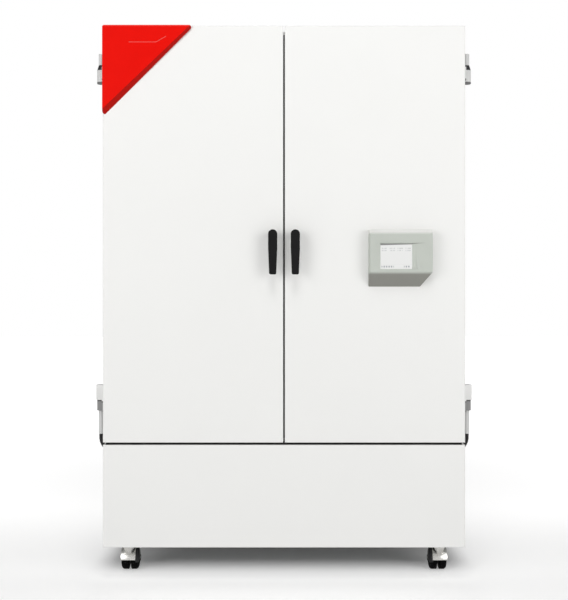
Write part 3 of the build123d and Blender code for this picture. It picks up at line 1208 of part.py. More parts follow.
def build_all():
    """Every node of the object by name."""
    left_hinges = [flipped(half) for half in make_door_hinges()]
    left_glass = make_glass_fittings()
    nodes = {
        "insulation": make_insulation(),
        "side_panel_left": make_side_panel_left(),
        "side_panel_right": make_side_panel_right(),
        "roof_panel": make_roof_panel(),
        "rear_panel": make_rear_panel(),
        "base_frame": make_base_frame(),
        "base_front_panel": make_base_front_panel(),
        "base_rear_grille": make_base_rear_grille(),
        "chamber_liner": make_chamber_liner(),
        "side_baffles": make_side_baffles(),
        "rear_baffle": make_rear_baffle(),
        "fan_motor": make_fan_motor(),
        "heater_rods": make_heater_rods(),
        "evaporator": make_evaporator(),
        "shelf_rails": make_shelf_rails(),
        "racks": [make_rack(level) for level in RACK_LEVELS],
        "compressor": make_compressor(),
        "condenser": make_condenser(),
        "humidifier": make_humidifier(),
        "electrics_box": make_electrics_box(),
        "service_panel": make_service_panel(),
        "rear_fittings": make_rear_fittings(),
        "access_port": make_access_port(),
        "castor_plates": make_castor_plates(),
        "hinge_brackets": make_hinge_brackets(),
        "cable_boots": [flipped(cable_boot()), cable_boot()],
        "glass_gasket": make_glass_gasket(),
        "left_door_skin": make_door_skin(),
        "left_door_foam": make_door_foam(),
        "left_door_liner": make_door_liner(),
        "left_door_gasket": make_door_gasket(),
        "left_door_hinges": left_hinges,
        "corner_cap": make_corner_cap(),
        "left_handle": make_handle(),
        "right_door_skin": flipped(make_door_skin()),
        "right_door_foam": flipped(make_door_foam()),
        "right_door_liner": flipped(make_door_liner()),
        "right_door_gasket": flipped(make_door_gasket()),
        "right_door_hinges": make_door_hinges(),
        "controller_housing": make_controller_housing(),
        "controller_display": make_controller_display(),
        "right_handle": flipped(make_handle()),
        "left_glass_pane": make_glass_pane(),
        "left_glass_fittings": left_glass,
        "right_glass_pane": flipped(make_glass_pane()),
        "right_glass_fittings": [flipped(piece) for piece in left_glass],
        "circulation_fan": make_circulation_fan(),
        "condenser_fan": make_condenser_fan(),
        "main_switch": make_main_switch(),
        "port_plug": make_port_plug(),
    }
    for x, y, name in castor_spots():
        brake_side = 0 if name.startswith("rear") else -1 if x > 0 else 1
        nodes[f"castor_fork_{name}"] = make_fork(x, y, brake_side)
        nodes[f"castor_wheels_{name}"] = make_wheels(x, y)
        if brake_side:
            nodes[f"castor_brake_{name}"] = make_brake(x, y, brake_side)
    return nodes


os.makedirs("parts", exist_ok=True)
for node, shape in build_all().items():
    solids = []
    for piece in shape if isinstance(shape, list) else [shape]:
        solids.extend(piece.solids())
    export_step(Compound(solids), f"parts/{node}.step")
print(f"floor plan: door face at y = {Y_FRONT}, joint plane at y = {Y_JOINT}, rear at y = {Y_REAR}")
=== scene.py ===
import json
import math

import bmesh
import bpy
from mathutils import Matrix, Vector


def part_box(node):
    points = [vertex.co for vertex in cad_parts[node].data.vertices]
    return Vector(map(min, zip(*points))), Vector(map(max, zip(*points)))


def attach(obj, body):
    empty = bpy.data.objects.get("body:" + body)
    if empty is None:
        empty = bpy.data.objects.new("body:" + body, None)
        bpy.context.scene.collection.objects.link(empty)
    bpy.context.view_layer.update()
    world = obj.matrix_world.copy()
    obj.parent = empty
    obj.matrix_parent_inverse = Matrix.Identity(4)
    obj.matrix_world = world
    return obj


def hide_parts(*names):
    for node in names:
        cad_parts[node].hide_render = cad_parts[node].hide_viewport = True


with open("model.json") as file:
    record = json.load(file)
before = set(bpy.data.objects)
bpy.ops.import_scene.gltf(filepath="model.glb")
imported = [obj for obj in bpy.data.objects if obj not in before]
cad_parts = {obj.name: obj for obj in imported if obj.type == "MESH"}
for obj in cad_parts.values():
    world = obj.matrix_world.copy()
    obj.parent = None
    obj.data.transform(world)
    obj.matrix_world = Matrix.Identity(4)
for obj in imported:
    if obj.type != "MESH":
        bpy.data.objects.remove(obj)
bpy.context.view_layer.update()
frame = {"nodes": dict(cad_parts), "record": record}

bodies_of = {node: body for body, nodes in frame["record"]["behaviour"]["bodies"].items() for node in nodes}


# Outer sheets
# The side, roof, rear and base sheets and the door pans are folded steel, 1.5 mm thick, powder coated white.
# The coat has a fine orange peel, a little thicker and paler in some places than in others.

class Link:
    """One socket of a node tree. Arithmetic on it adds Math nodes to the tree."""

    def __init__(self, nodes, socket):
        self.nodes = nodes
        self.socket = socket

    def maths(self, operation, *values):
        return self.nodes.add("ShaderNodeMath", {"operation": operation}, values)

    def __add__(self, other):
        return self.maths("ADD", self, other)

    def __sub__(self, other):
        return self.maths("SUBTRACT", self, other)

    def __rsub__(self, other):
        return self.maths("SUBTRACT", other, self)

    def __mul__(self, other):
        return self.maths("MULTIPLY", self, other)

    def __truediv__(self, other):
        return self.maths("DIVIDE", self, other)

    def __gt__(self, other):
        return self.maths("GREATER_THAN", self, other)

    def __lt__(self, other):
        return self.maths("LESS_THAN", self, other)

    def __pow__(self, other):
        return self.maths("POWER", self, other)

    def __abs__(self):
        return self.maths("ABSOLUTE", self)

    __radd__ = __add__
    __rmul__ = __mul__

    def between(self, low, high):
        """1 where the value lies between two numbers, else 0."""
        return (self > low) * (self < high)

    def part(self):
        """What is left over from the whole number."""
        return self.maths("FRACT", self)


class Nodes:
    """A node tree under construction, for a surface or for a shape."""

    def __init__(self, tree):
        self.tree = tree

    def add(self, kind, settings=None, inputs=None, output=0):
        """Adds a node: its settings first, then the value or link of each socket."""
        node = self.tree.nodes.new(kind)
        for name, value in (settings or {}).items():
            setattr(node, name, value)
        for name, value in inputs.items() if isinstance(inputs, dict) else enumerate(inputs or ()):
            self.feed(node.inputs[name], value)
        return Link(self, node.outputs[output])

    def feed(self, socket, value):
        if isinstance(value, Link):
            self.tree.links.new(value.socket, socket)
        else:
            socket.default_value = value


class Surface(Nodes):
    """A material: places on the object in metres, and the Principled shader that they feed."""

    def __init__(self, name, constants):
        self.material = bpy.data.materials.new(name)
        self.material.use_nodes = True
        super().__init__(self.material.node_tree)
        self.shader = self.tree.nodes["Principled BSDF"]
        for socket, value in constants.items():
            self.shader.inputs[socket].default_value = value
        self.place = self.add("ShaderNodeTexCoord", output=3)
        axes = self.add("ShaderNodeSeparateXYZ", None, [self.place]).socket.node
        self.x, self.y, self.z = (Link(self, out) for out in axes.outputs)

    def rise(self, value, start, full):
        """0 up to a start, 1 from the full value on, and a soft rise between them."""
        return self.add("ShaderNodeMapRange", {"interpolation_type": "SMOOTHSTEP"},
                        {"Value": value, "From Min": start, "From Max": full})

    def grain(self, waves, stretch=(1, 1, 1), detail=2.0, shift=0.0):
        """Noise between 0 and 1, with so many waves to the metre before the stretch."""
        spot = self.add("ShaderNodeMapping", None,
                        {"Vector": self.place, "Scale": stretch, "Location": (shift, shift, shift)})
        return self.add("ShaderNodeTexNoise", None, {"Vector": spot, "Scale": waves, "Detail": detail})

    def mix(self, share, first, second):
        """A colour between two others."""
        return self.add("ShaderNodeMix", {"data_type": "RGBA"},
                        {0: share, 6: (*first, 1) if isinstance(first, tuple) else first,
                         7: (*second, 1) if isinstance(second, tuple) else second}, output=2)

    def wear(self, color=None, roughness=None, relief=None, depth=0.0001, **more):
        """Feeds the shader: colour, roughness and a relief of a depth in metres."""
        sockets = {"Base Color": color, "Roughness": roughness, **more}
        for name, value in sockets.items():
            if value is not None:
                self.feed(self.shader.inputs[name.replace("_", " ")], value)
        if relief is not None:
            bump = self.add("ShaderNodeBump", None, {"Height": relief, "Distance": depth, "Strength": 1.0})
            self.feed(self.shader.inputs["Normal"], bump)
        return self.material


def dress(material, *nodes):
    """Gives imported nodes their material."""
    for node in nodes:
        for slot in frame["nodes"][node].material_slots:
            slot.material = material


def powder_coat(name, pale, deep, roughness):
    """Powder coat between two tones, with orange peel."""
    coat = Surface(name, {"Specular IOR Level": 0.35, "Coat Roughness": 0.35})
    cloud = coat.grain(3.5, detail=3)
    peel = coat.grain(420, detail=1) + coat.grain(1400, detail=1, shift=5) * 0.35
    return coat.wear(coat.mix(cloud, deep, pale), roughness + cloud * 0.06, peel, 0.00006)


white_coat = powder_coat("white_powder_coat", (0.868, 0.868, 0.855), (0.85, 0.851, 0.838), 0.36)
dress(white_coat, "side_panel_left", "side_panel_right", "roof_panel", "rear_panel", "base_front_panel",
      "base_rear_grille", "left_door_skin", "right_door_skin")


# Screws of the outer sheets
# The rear sheet, the rear grille, the roof and the hinge plates are held by zinc button heads with a hexagon
# socket. They sit in straight rows with an even pitch along the folds.

def put(name, data):
    """A new object in the scene, at the origin and unscaled."""
    item = bpy.data.objects.new(name, data)
    bpy.context.collection.objects.link(item)
    return item


def new_mesh(name, points, edges=(), faces=(), material=None):
    """An object with a mesh of its own, which may have points or edges alone."""
    mesh = bpy.data.meshes.new(name)
    mesh.from_pydata(points, edges, faces)
    if material:
        mesh.materials.append(material)
    return put(name, mesh)


def shape_tree(name, sockets):
    """An empty Geometry Nodes tree with named inputs, and a link for each of them."""
    tree = bpy.data.node_groups.new(name, "GeometryNodeTree")
    tree.interface.new_socket(name="Geometry", in_out="INPUT", socket_type="NodeSocketGeometry")
    for socket, kind in sockets.items():
        tree.interface.new_socket(name=socket, in_out="INPUT", socket_type=kind)
    tree.interface.new_socket(name="Geometry", in_out="OUTPUT", socket_type="NodeSocketGeometry")
    nodes = Nodes(tree)
    entry = tree.nodes.new("NodeGroupInput")
    return nodes, {out.name: Link(nodes, out) for out in entry.outputs if out.name}


def end_tree(nodes, shape, material):
    """Closes a tree: instances made real, and their material set."""
    real = nodes.add("GeometryNodeRealizeInstances", None, [shape])
    dressed = nodes.add("GeometryNodeSetMaterial", None, {"Geometry": real, "Material": material})
    exit_node = nodes.tree.nodes.new("NodeGroupOutput")
    nodes.feed(exit_node.inputs[0], dressed)


def grow(holder, tree, values):
    """Runs a tree on an object and keeps the result as a plain mesh."""
    modifier = holder.modifiers.new(tree.name, "NODES")
    modifier.node_group = tree
    for item in tree.interface.items_tree:
        if item.in_out == "INPUT" and item.name in values:
            modifier[item.identifier] = values[item.name]
    seen = holder.evaluated_get(bpy.context.evaluated_depsgraph_get())
    mesh = bpy.data.meshes.new_from_object(seen)
    holder.modifiers.clear()
    holder.data = mesh
    return holder


FLOAT, VECTOR, MATERIAL = "NodeSocketFloat", "NodeSocketVector", "NodeSocketMaterial"
TOWARDS = {"+X": (0, math.pi / 2, 0), "-X": (0, -math.pi / 2, 0), "+Y": (-math.pi / 2, 0, 0),
           "-Y": (math.pi / 2, 0, 0), "+Z": (0, 0, 0), "-Z": (math.pi, 0, 0)}

round_sides, shoulder, crown, key_width, body_height, crown_height = 28, 0.97, 0.66, 0.42, 0.45, 0.55
nodes, given = shape_tree("button_heads",
                          {"Radius": FLOAT, "Height": FLOAT, "Turn": VECTOR, "Finish": MATERIAL})
body_cone = nodes.add("GeometryNodeMeshCone", None,
                      {"Vertices": round_sides, "Radius Bottom": given["Radius"],
                       "Radius Top": given["Radius"] * shoulder, "Depth": given["Height"] * body_height})
top_cone = nodes.add("GeometryNodeMeshCone", None,
                     {"Vertices": round_sides, "Radius Bottom": given["Radius"] * shoulder,
                      "Radius Top": given["Radius"] * crown, "Depth": given["Height"] * crown_height})
lift = nodes.add("ShaderNodeCombineXYZ", None, {"Z": given["Height"] * body_height})
top_cone = nodes.add("GeometryNodeTransform", None, {"Geometry": top_cone, "Translation": lift})
head = nodes.add("GeometryNodeMeshBoolean", {"operation": "UNION"}, {"Mesh": body_cone})
nodes.tree.links.new(top_cone.socket, head.socket.node.inputs["Mesh 2"])
nodes.tree.links.new(body_cone.socket, head.socket.node.inputs["Mesh 2"])
key = nodes.add("GeometryNodeMeshCylinder", None,
                {"Vertices": 6, "Radius": given["Radius"] * key_width, "Depth": given["Height"]})
lift = nodes.add("ShaderNodeCombineXYZ", None, {"Z": given["Height"]})
key = nodes.add("GeometryNodeTransform", None, {"Geometry": key, "Translation": lift})
head = nodes.add("GeometryNodeMeshBoolean", {"operation": "DIFFERENCE"}, {"Mesh 1": head, "Mesh 2": key})
spots = nodes.add("GeometryNodeInstanceOnPoints", None,
                  {"Points": given["Geometry"], "Instance": head, "Rotation": given["Turn"]})
end_tree(nodes, spots, given["Finish"])
screw_tree = nodes.tree

zinc = Surface("bright_zinc", {"Metallic": 1.0})
haze = zinc.grain(260, detail=3)
bright_zinc = zinc.wear(zinc.mix(haze, (0.6, 0.6, 0.57), (0.72, 0.71, 0.67)), 0.24 + haze * 0.16,
                        zinc.grain(900), 0.00002)


def screws(name, places, towards, radius, body):
    """Button heads at a list of places, on a face that looks along an axis."""
    height = radius * 0.55
    piece = grow(new_mesh(name, places), screw_tree,
                 {"Radius": radius, "Height": height, "Turn": TOWARDS[towards], "Finish": bright_zinc})
    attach(piece, body)


def spread(start, end, count):
    """Even places from a start to an end."""
    return [start + (end - start) * n / (count - 1) for n in range(count)]


rear_low, rear_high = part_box("rear_panel")
grille_low, grille_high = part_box("base_rear_grille")
roof_low, roof_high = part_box("roof_panel")
rear_face = grille_high[1]
edge_in, column_in, row_in = 0.014, 0.03, 0.14
rear_spots = []
for x in (rear_low[0] + edge_in, rear_high[0] - edge_in):
    rear_spots += [(x, rear_face, z) for z in spread(rear_low[2] + column_in, rear_high[2] - column_in, 9)]
    rear_spots += [(x, rear_face, z) for z in spread(grille_low[2] + column_in, grille_high[2] - column_in, 3)]
for z in (rear_high[2] - edge_in, rear_low[2] + edge_in, grille_low[2] + edge_in):
    rear_spots += [(x, rear_face, z) for x in spread(rear_low[0] + row_in, rear_high[0] - row_in, 6)]
screws("rear_sheet_screws", rear_spots, "+Y", 0.0052, "cabinet")
roof_edge_in, roof_end_in, sunk_in = 0.018, 0.03, 0.0027
roof_spots = [(x, roof_high[1] - roof_edge_in, roof_high[2] - sunk_in)
              for x in spread(roof_low[0] + roof_end_in, roof_high[0] - roof_end_in, 5)]
screws("roof_rear_screws", roof_spots, "+Z", 0.0048, "cabinet")


# Louvre hoods
# Each slot in the lower rear sheet has a half-round hood pressed out of the sheet over its upper half, so that
# drips run off. They stand in two columns of ten.

nodes, given = shape_tree("pressed_hoods",
                          {"Radius": FLOAT, "Length": FLOAT, "Turn": VECTOR, "Finish": MATERIAL})
hood = nodes.add("GeometryNodeMeshCylinder", None,
                 {"Vertices": 24, "Radius": given["Radius"], "Depth": given["Length"]})
spots = nodes.add("GeometryNodeInstanceOnPoints", None,
                  {"Points": given["Geometry"], "Instance": hood, "Rotation": given["Turn"]})
end_tree(nodes, spots, given["Finish"])
first_x, first_z, slot_length, slot_height = 0.06, 0.195, 0.22, 0.009
slot_pitch, rows, column_pitch, columns = 0.024, 10, 0.25, 2
hood_radius, hood_length, hood_sunk = 0.0052, slot_length + 0.006, 0.0012
places = [(first_x + slot_length / 2 + column * column_pitch, rear_face - hood_sunk,
           first_z + slot_height + row * slot_pitch) for column in range(columns) for row in range(rows)]
hoods = grow(new_mesh("louvre_hoods", places), nodes.tree,
             {"Radius": hood_radius, "Length": hood_length, "Turn": TOWARDS["+X"], "Finish": white_coat})
hoods.data.set_sharp_from_angle(angle=math.radians(40))
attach(hoods, "cabinet")


# Foam
# The body and the doors are filled with rigid polyurethane foam, poured in and cut off flush.
# Its cut face is a pale yellow with fine closed cells.

foam = Surface("rigid_foam", {})
cells = foam.add("ShaderNodeTexVoronoi", None, {"Vector": foam.place, "Scale": 700.0})
rigid_foam = foam.wear(foam.mix(foam.grain(40), (0.78, 0.7, 0.48), (0.86, 0.8, 0.6)), 0.9, cells, 0.0003)
dress(rigid_foam, "insulation", "left_door_foam", "right_door_foam")


# Stainless test space
# The liner, its duct sheets, the rails and the doors' inner sheets are ground stainless steel, welded at the
# corners. The grind runs across the sheets, and the racks are polished rod with wires welded on.

def ground_steel(name, tone, along, roughness):
    """Stainless steel with a grind along one axis."""
    steel = Surface(name, {"Metallic": 1.0})
    stretch = {"X": (0.02, 1, 1), "Z": (1, 1, 0.02), "none": (1, 1, 1)}[along]
    lines = steel.grain(1500, stretch, detail=3)
    smear = steel.grain(9, detail=3)
    bright, dull = tuple(c * 1.06 for c in tone), tuple(c * 0.92 for c in tone)
    share = lines * 0.6 + smear * 0.4
    return steel.wear(steel.mix(share, dull, bright), roughness + lines * 0.14 + smear * 0.05, lines, 0.00003)


liner_steel = ground_steel("ground_stainless", (0.66, 0.66, 0.65), "X", 0.27)
polished_steel = ground_steel("polished_stainless", (0.7, 0.7, 0.69), "none", 0.15)
dress(liner_steel, "chamber_liner", "side_baffles", "rear_baffle", "left_door_liner", "right_door_liner",
      "humidifier", "shelf_rails")
dress(polished_steel, "racks", "heater_rods", "left_glass_fittings", "right_glass_fittings")

baffle_low, baffle_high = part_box("side_baffles")
back_low, back_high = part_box("rear_baffle")
duct_x, side_in, back_in, end_in, duct_head = back_high[0] - 0.001, 0.018, 0.02, 0.05, 0.0042
for side, name, towards in ((-1, "left", "+X"), (1, "right", "-X")):
    places = [(side * duct_x, y, z) for y in (baffle_low[1] + side_in, baffle_high[1] - side_in)
              for z in spread(baffle_low[2] + end_in, baffle_high[2] - end_in, 6)]
    screws(f"duct_sheet_screws_{name}", places, towards, duct_head, "cabinet")
places = [(x, back_low[1], z) for x in (back_low[0] + back_in, back_high[0] - back_in)
          for z in spread(back_low[2] + end_in, back_high[2] - end_in, 6)]
screws("rear_duct_screws", places, "-Y", duct_head, "cabinet")


# Seals
# The outer doors close on a black rubber seal with a hollow bulb, pushed on round the door's edge.
# The glass doors close on a pale silicone frame, and the port's plug is of the same silicone.

def rubber(name, tone, roughness):
    """Moulded rubber with a dusty bloom."""
    sheet = Surface(name, {"Specular IOR Level": 0.3})
    bloom = sheet.grain(55, detail=4)
    paler = tuple(min(1.0, c * 1.35 + 0.006) for c in tone)
    return sheet.wear(sheet.mix(bloom, tone, paler), roughness + bloom * 0.12, sheet.grain(1600), 0.00003)


dress(rubber("door_seal_rubber", (0.012, 0.012, 0.013), 0.55), "left_door_gasket", "right_door_gasket")
dress(rubber("pale_silicone", (0.55, 0.56, 0.56), 0.5), "glass_gasket", "port_plug")


# Seam shade strip
# A black strip on the folded top edge of the lower front cover is painted shade in the seam under the doors.
# It stops short of both ends.

def prism(name, outline, foot, top, material):
    """A closed upright block over a plan of four corners, which run counterclockwise seen from above."""
    points = [(x, y, z) for z in (foot, top) for x, y in outline]
    sides = [(n, (n + 1) % 4, (n + 1) % 4 + 4, n + 4) for n in range(4)]
    return new_mesh(name, points, faces=[(3, 2, 1, 0), (4, 5, 6, 7), *sides], material=material)


base_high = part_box("base_front_panel")[1]
door_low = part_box("left_door_skin")[0]
strip_clear, strip_x = 0.0003, base_high[0] - 0.01
strip_front, strip_back = door_low[1] + 0.006, door_low[1] + 0.03
seam_shade_strip = prism("seam_shade_strip", [(-strip_x, strip_front), (strip_x, strip_front), (strip_x, strip_back),
                                  (-strip_x, strip_back)], base_high[2], door_low[2] - strip_clear,
                   rubber("seam_foam", (0.004, 0.004, 0.004), 0.8))
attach(seam_shade_strip, "cabinet")


# Corner cap
# A moulded triangle in glossy red plastic, clipped over the left door's upper corner. Its face carries one
# soft pressed crease with a painted highlight along it. The bevel on its long side has painted shade, widening
# towards the lower tip, and its top edge a thin painted highlight.

cap_low, cap_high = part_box("corner_cap")
cap_leg = 0.315
bevel_top, bevel_foot, highlight_edge = 0.008, 0.019, 0.0046
red = Surface("glossy_red", {"Specular IOR Level": 0.1, "Coat Roughness": 0.15})
shade = red.grain(14, detail=2)
face = red.mix(shade, (0.74, 0.003, 0.0002), (0.8, 0.0035, 0.0003))
drop = (cap_high[2] - red.z) / cap_leg
from_long_side = (cap_leg - (red.x - cap_low[0]) - (cap_high[2] - red.z)) * math.sqrt(0.5)
# Painted shade on the long side's bevel, wider towards the lower tip, and a thin painted highlight on the top
# edge.
bevel_shade = from_long_side < drop * (bevel_foot - bevel_top) + bevel_top
face = red.mix(bevel_shade, face, (0.42, 0.004, 0.001))
face = red.mix((red.z > cap_high[2] - highlight_edge) * 0.5, face, (0.95, 0.09, 0.07))
crease_z, crease_left, crease_bend, crease_right, crease_rise = 1.8655, -0.5338, -0.4397, -0.4053, 0.578
level_half, rising_half = 0.0011, 0.0013
level = abs(red.z - crease_z) < level_half
rising = abs(red.z - crease_z - (red.x - crease_bend) * crease_rise) < rising_half
crease_and_highlight = level * red.x.between(crease_left, crease_bend) + rising * red.x.between(crease_bend, crease_right)
# Painted highlight along the crease, which is also pressed in as relief below.
face = red.mix(crease_and_highlight * 0.35, face, (0.9, 0.3, 0.27))
relief = red.grain(900, detail=1) * 0.1 - crease_and_highlight
glossy_red = red.wear(face, 0.3 + shade * 0.05, relief, 0.0002)
dress(glossy_red, "corner_cap")


# Lever handles
# Each is one black glass-filled moulding with a textured grip, on a steel spindle that turns the latch cam
# inside the door. Its edges are rounded off a little more than the tool leaves them.

def softened(node, width, material, segments=3):
    """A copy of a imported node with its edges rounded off, shown instead of it."""
    source = frame["nodes"][node]
    form = bmesh.new()
    form.from_mesh(source.data)
    bmesh.ops.remove_doubles(form, verts=form.verts, dist=0.00001)
    bmesh.ops.dissolve_limit(form, angle_limit=math.radians(1.0), verts=form.verts, edges=form.edges)
    mesh = bpy.data.meshes.new(f"{node}_soft")
    form.to_mesh(mesh)
    form.free()
    mesh.materials.append(material)
    piece = put(f"{node}_soft", mesh)
    if width:
        bevel = piece.modifiers.new("edges", "BEVEL")
        bevel.width, bevel.segments, bevel.limit_method = width, segments, "ANGLE"
        bevel.angle_limit = math.radians(30)
    seen = piece.evaluated_get(bpy.context.evaluated_depsgraph_get())
    piece.data = bpy.data.meshes.new_from_object(seen)
    piece.modifiers.clear()
    for face in piece.data.polygons:
        face.use_smooth = True
    piece.data.set_sharp_from_angle(angle=math.radians(40))
    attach(piece, bodies_of[node])
    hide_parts(node)


grip = Surface("black_moulding", {"Specular IOR Level": 0.12})
pits = grip.grain(2200, detail=1)
black_moulding = grip.wear(grip.mix(grip.grain(30), (0.006, 0.006, 0.0065), (0.0095, 0.0095, 0.01)),
                           0.44 + pits * 0.12, pits, 0.00004)
for side in ("left", "right"):
    softened(f"{side}_handle", 0.0006, black_moulding, segments=2)


# Touch controller
# A thin-walled moulding in warm grey, screwed to the right door from inside. Its screen lies in a sloping
# pocket and shows pale columns of values over a row of symbols. A strip closes the pocket beside the screen.
# Painted shade darkens the sloping underside, a painted highlight lies on the rounded top edge, and the
# pocket's top edge casts a painted shadow beside the screen and over its top.

housing_low, housing_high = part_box("controller_housing")
foot_height, highlight_height, soft_edge, crisp_edge = 0.049, 0.0165, 0.009, 0.003
shell = Surface("controller_moulding", {"Specular IOR Level": 0.35})
pits = shell.grain(1900, detail=1)
tone = shell.mix(shell.grain(16), (0.5, 0.53, 0.487), (0.53, 0.56, 0.515))
foot_edge, highlight_edge = housing_low[2] + foot_height, housing_high[2] - highlight_height
# Painted shade on the sloping underside, and a painted highlight on the rounded top edge.
foot_shade = shell.rise(0 - shell.z, -foot_edge - 0.001, soft_edge - foot_edge)
top_highlight = shell.rise(shell.z, highlight_edge - crisp_edge, highlight_edge + soft_edge)
tone = shell.mix(foot_shade, tone, (0.262, 0.262, 0.238))
screen_low, screen_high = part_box("controller_display")
pocket_end, pocket_top = screen_high[0] + 0.047, screen_high[2] + 0.002
# Painted shadow under the pocket's top edge, beside the screen.
shade_depth = (pocket_end - shell.x) * 0.06
under_edge = (shell.z > pocket_top - shade_depth) * (shell.z < pocket_top)
in_shade = under_edge * shell.x.between(screen_high[0], pocket_end)
tone = shell.mix(in_shade * 0.7, tone, (0.2, 0.2, 0.19))
tone = shell.mix(top_highlight, tone, (0.8, 0.8, 0.78))
controller_moulding = shell.wear(tone, 0.42 + pits * 0.1, pits, 0.00004)
softened("controller_housing", 0.0006, controller_moulding, segments=2)

slope, slope_start, slope_end, pocket_depth, carrier_back = 5.5 / 45, 0.0058, 0.0136, 0.0045, 0.0085
just_under, past_screen = 0.00005, 0.003
pocket_right, housing_front = screen_high[0] + 0.002, housing_low[1]
outline = [(pocket_right + slope_start, housing_front + pocket_depth - slope_start * slope + just_under),
           (pocket_right + slope_end, housing_front + pocket_depth - slope_end * slope + just_under),
           (pocket_right + slope_end, housing_front + carrier_back),
           (pocket_right + slope_start, housing_front + carrier_back)]
carrier = prism("screen_carrier", outline, screen_low[2] - past_screen, screen_high[2] + past_screen,
                controller_moulding)
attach(carrier, bodies_of["controller_housing"])

panel = Surface("lit_screen", {"Specular IOR Level": 0.35, "Emission Strength": 0.8})
across = (panel.x - screen_low[0]) / (screen_high[0] - screen_low[0])
up = (panel.z - screen_low[2]) / (screen_high[2] - screen_low[2])
column_count, column_ink, upper_values, lower_values = 4, (0.16, 0.84), (0.79, 0.835), (0.705, 0.75)
in_column = (across * column_count).part().between(*column_ink)
broken = panel.grain(300, (1, 0.01, 0.15)) > 0.45
values = (up.between(*upper_values) + up.between(*lower_values)) * in_column * broken
symbol_pitch, symbol_ink, symbol_row = 0.078, (0.2, 0.75), (0.055, 0.125)
left_symbols, right_symbols = (0.03, 0.42), (0.74, 0.95)
in_symbol = (across / symbol_pitch).part().between(*symbol_ink) * up.between(*symbol_row)
symbols = in_symbol * (across.between(*left_symbols) + across.between(*right_symbols))
lower_rule, upper_rule = (0.175, 0.185), (0.915, 0.925)
rule = up.between(*lower_rule) + up.between(*upper_rule)
glow = panel.mix(up * 0.5, (0.985, 0.99, 0.975), (1.0, 1.0, 0.99))
glow = panel.mix(values * 0.45, glow, (0.5, 0.52, 0.53))
glow = panel.mix(symbols * 0.7, glow, (0.24, 0.27, 0.3))
glow = panel.mix(rule * 0.22, glow, (0.55, 0.57, 0.58))
# Painted shadow of the pocket's top edge over the screen's top, thinner towards the right.
shade_height = 0.0055
shaded = (screen_high[2] - panel.z) < (1 - across * 0.5) * shade_height
glow = panel.mix(shaded * 0.8, glow, (0.12, 0.12, 0.12))
lit = panel.wear((0.02, 0.02, 0.02, 1), 0.14, Emission_Color=glow)
dress(lit, "controller_display")


# Outer hinges and cable boots
# Cast hinges in pale grey powder coat, screwed to the side panels and to the door edges. The cable for the
# controller and the door heater runs through a ribbed black boot under the lower ones.

leaf_low, leaf_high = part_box("right_door_hinges")
cone_height, upper_barrel, lower_barrel, lower_block, band = 0.018, 0.046, 0.038, 0.053, 0.005
hinge_coat = powder_coat("grey_casting_coat", (0.72, 0.725, 0.72), (0.67, 0.675, 0.67), 0.4)
cast = Surface("hinge_casting", {"Specular IOR Level": 0.35, "Coat Roughness": 0.35})
cloud = cast.grain(30, detail=3)
tone = cast.mix(cloud, (0.66, 0.665, 0.66), (0.72, 0.725, 0.72))
# Below the pale block of the lower hinges the casting is dark grey, with a near-black band just under the
# block; the upper hinges have a dark band at the barrel's foot and a near-black cone on top.
block_foot = leaf_low[2] + lower_barrel
tone = cast.mix(cast.z.between(block_foot, block_foot + lower_block), tone, (0.84, 0.84, 0.83))
tone = cast.mix(cast.z < block_foot, tone, (0.3, 0.3, 0.3))
tone = cast.mix(cast.z.between(block_foot - band, block_foot) * 0.9, tone, (0.05, 0.05, 0.05))
barrel_foot = leaf_high[2] - cone_height - upper_barrel
tone = cast.mix(cast.z.between(barrel_foot - 0.001, barrel_foot + band) * 0.85, tone, (0.06, 0.06, 0.06))
tone = cast.mix(cast.z > leaf_high[2] - cone_height + 0.0002, tone, (0.011, 0.011, 0.012))
hinge_casting = cast.wear(tone, 0.4 + cloud * 0.06, cast.grain(420, detail=1), 0.00006)
softened("hinge_brackets", 0.0009, hinge_coat)
for node in ("left_door_hinges", "right_door_hinges"):
    softened(node, 0.0009, hinge_casting)

bracket_low, bracket_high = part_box("hinge_brackets")
side_low, side_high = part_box("side_panel_right")
plate_face, hinge_head = side_high[0] + 0.006, 0.0046
bracket_y = [side_low[1] + inset for inset in (0.03, 0.062)]
bracket_z = (bracket_high[2] - 0.02, bracket_low[2] + 0.02, bracket_low[2] + 0.062)
leaf_z = (barrel_foot + 0.023, block_foot + 0.027)
for side, towards, name in ((-1, "-X", "left"), (1, "+X", "right")):
    places = [(side * plate_face, y, z) for y in bracket_y for z in bracket_z]
    screws(f"hinge_bracket_screws_{name}", places, towards, hinge_head, "cabinet")
    leaf_y = [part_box(f"{name}_door_hinges")[0][1] + inset for inset in (0.016, 0.036)]
    places = [(side * plate_face, y, z) for y in leaf_y for z in leaf_z]
    screws(f"hinge_leaf_screws_{name}", places, towards, hinge_head, bodies_of[f"{name}_door_hinges"])

boot_rubber = rubber("boot_rubber", (0.01, 0.01, 0.0105), 0.42)
softened("cable_boots", 0.0, boot_rubber)

nodes, given = shape_tree("boot_ribs",
                          {"Radius": FLOAT, "Thickness": FLOAT, "Pitch": FLOAT, "Finish": MATERIAL})
route = nodes.add("GeometryNodeMeshToCurve", None, {"Mesh": given["Geometry"]})
marks = nodes.add("GeometryNodeCurveToPoints", {"mode": "LENGTH"}, {"Curve": route, "Length": given["Pitch"]})
turn = Link(nodes, marks.socket.node.outputs["Rotation"])
ring = nodes.add("GeometryNodeCurvePrimitiveCircle", None, {"Resolution": 32, "Radius": given["Radius"]})
section = nodes.add("GeometryNodeCurvePrimitiveCircle", None, {"Resolution": 8, "Radius": given["Thickness"]})
rib = nodes.add("GeometryNodeCurveToMesh", None, {"Curve": ring, "Profile Curve": section})
ribs = nodes.add("GeometryNodeInstanceOnPoints", None, {"Points": marks, "Instance": rib, "Rotation": turn})
end_tree(nodes, ribs, given["Finish"])
rib_tree = nodes.tree
boot_low, boot_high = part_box("cable_boots")
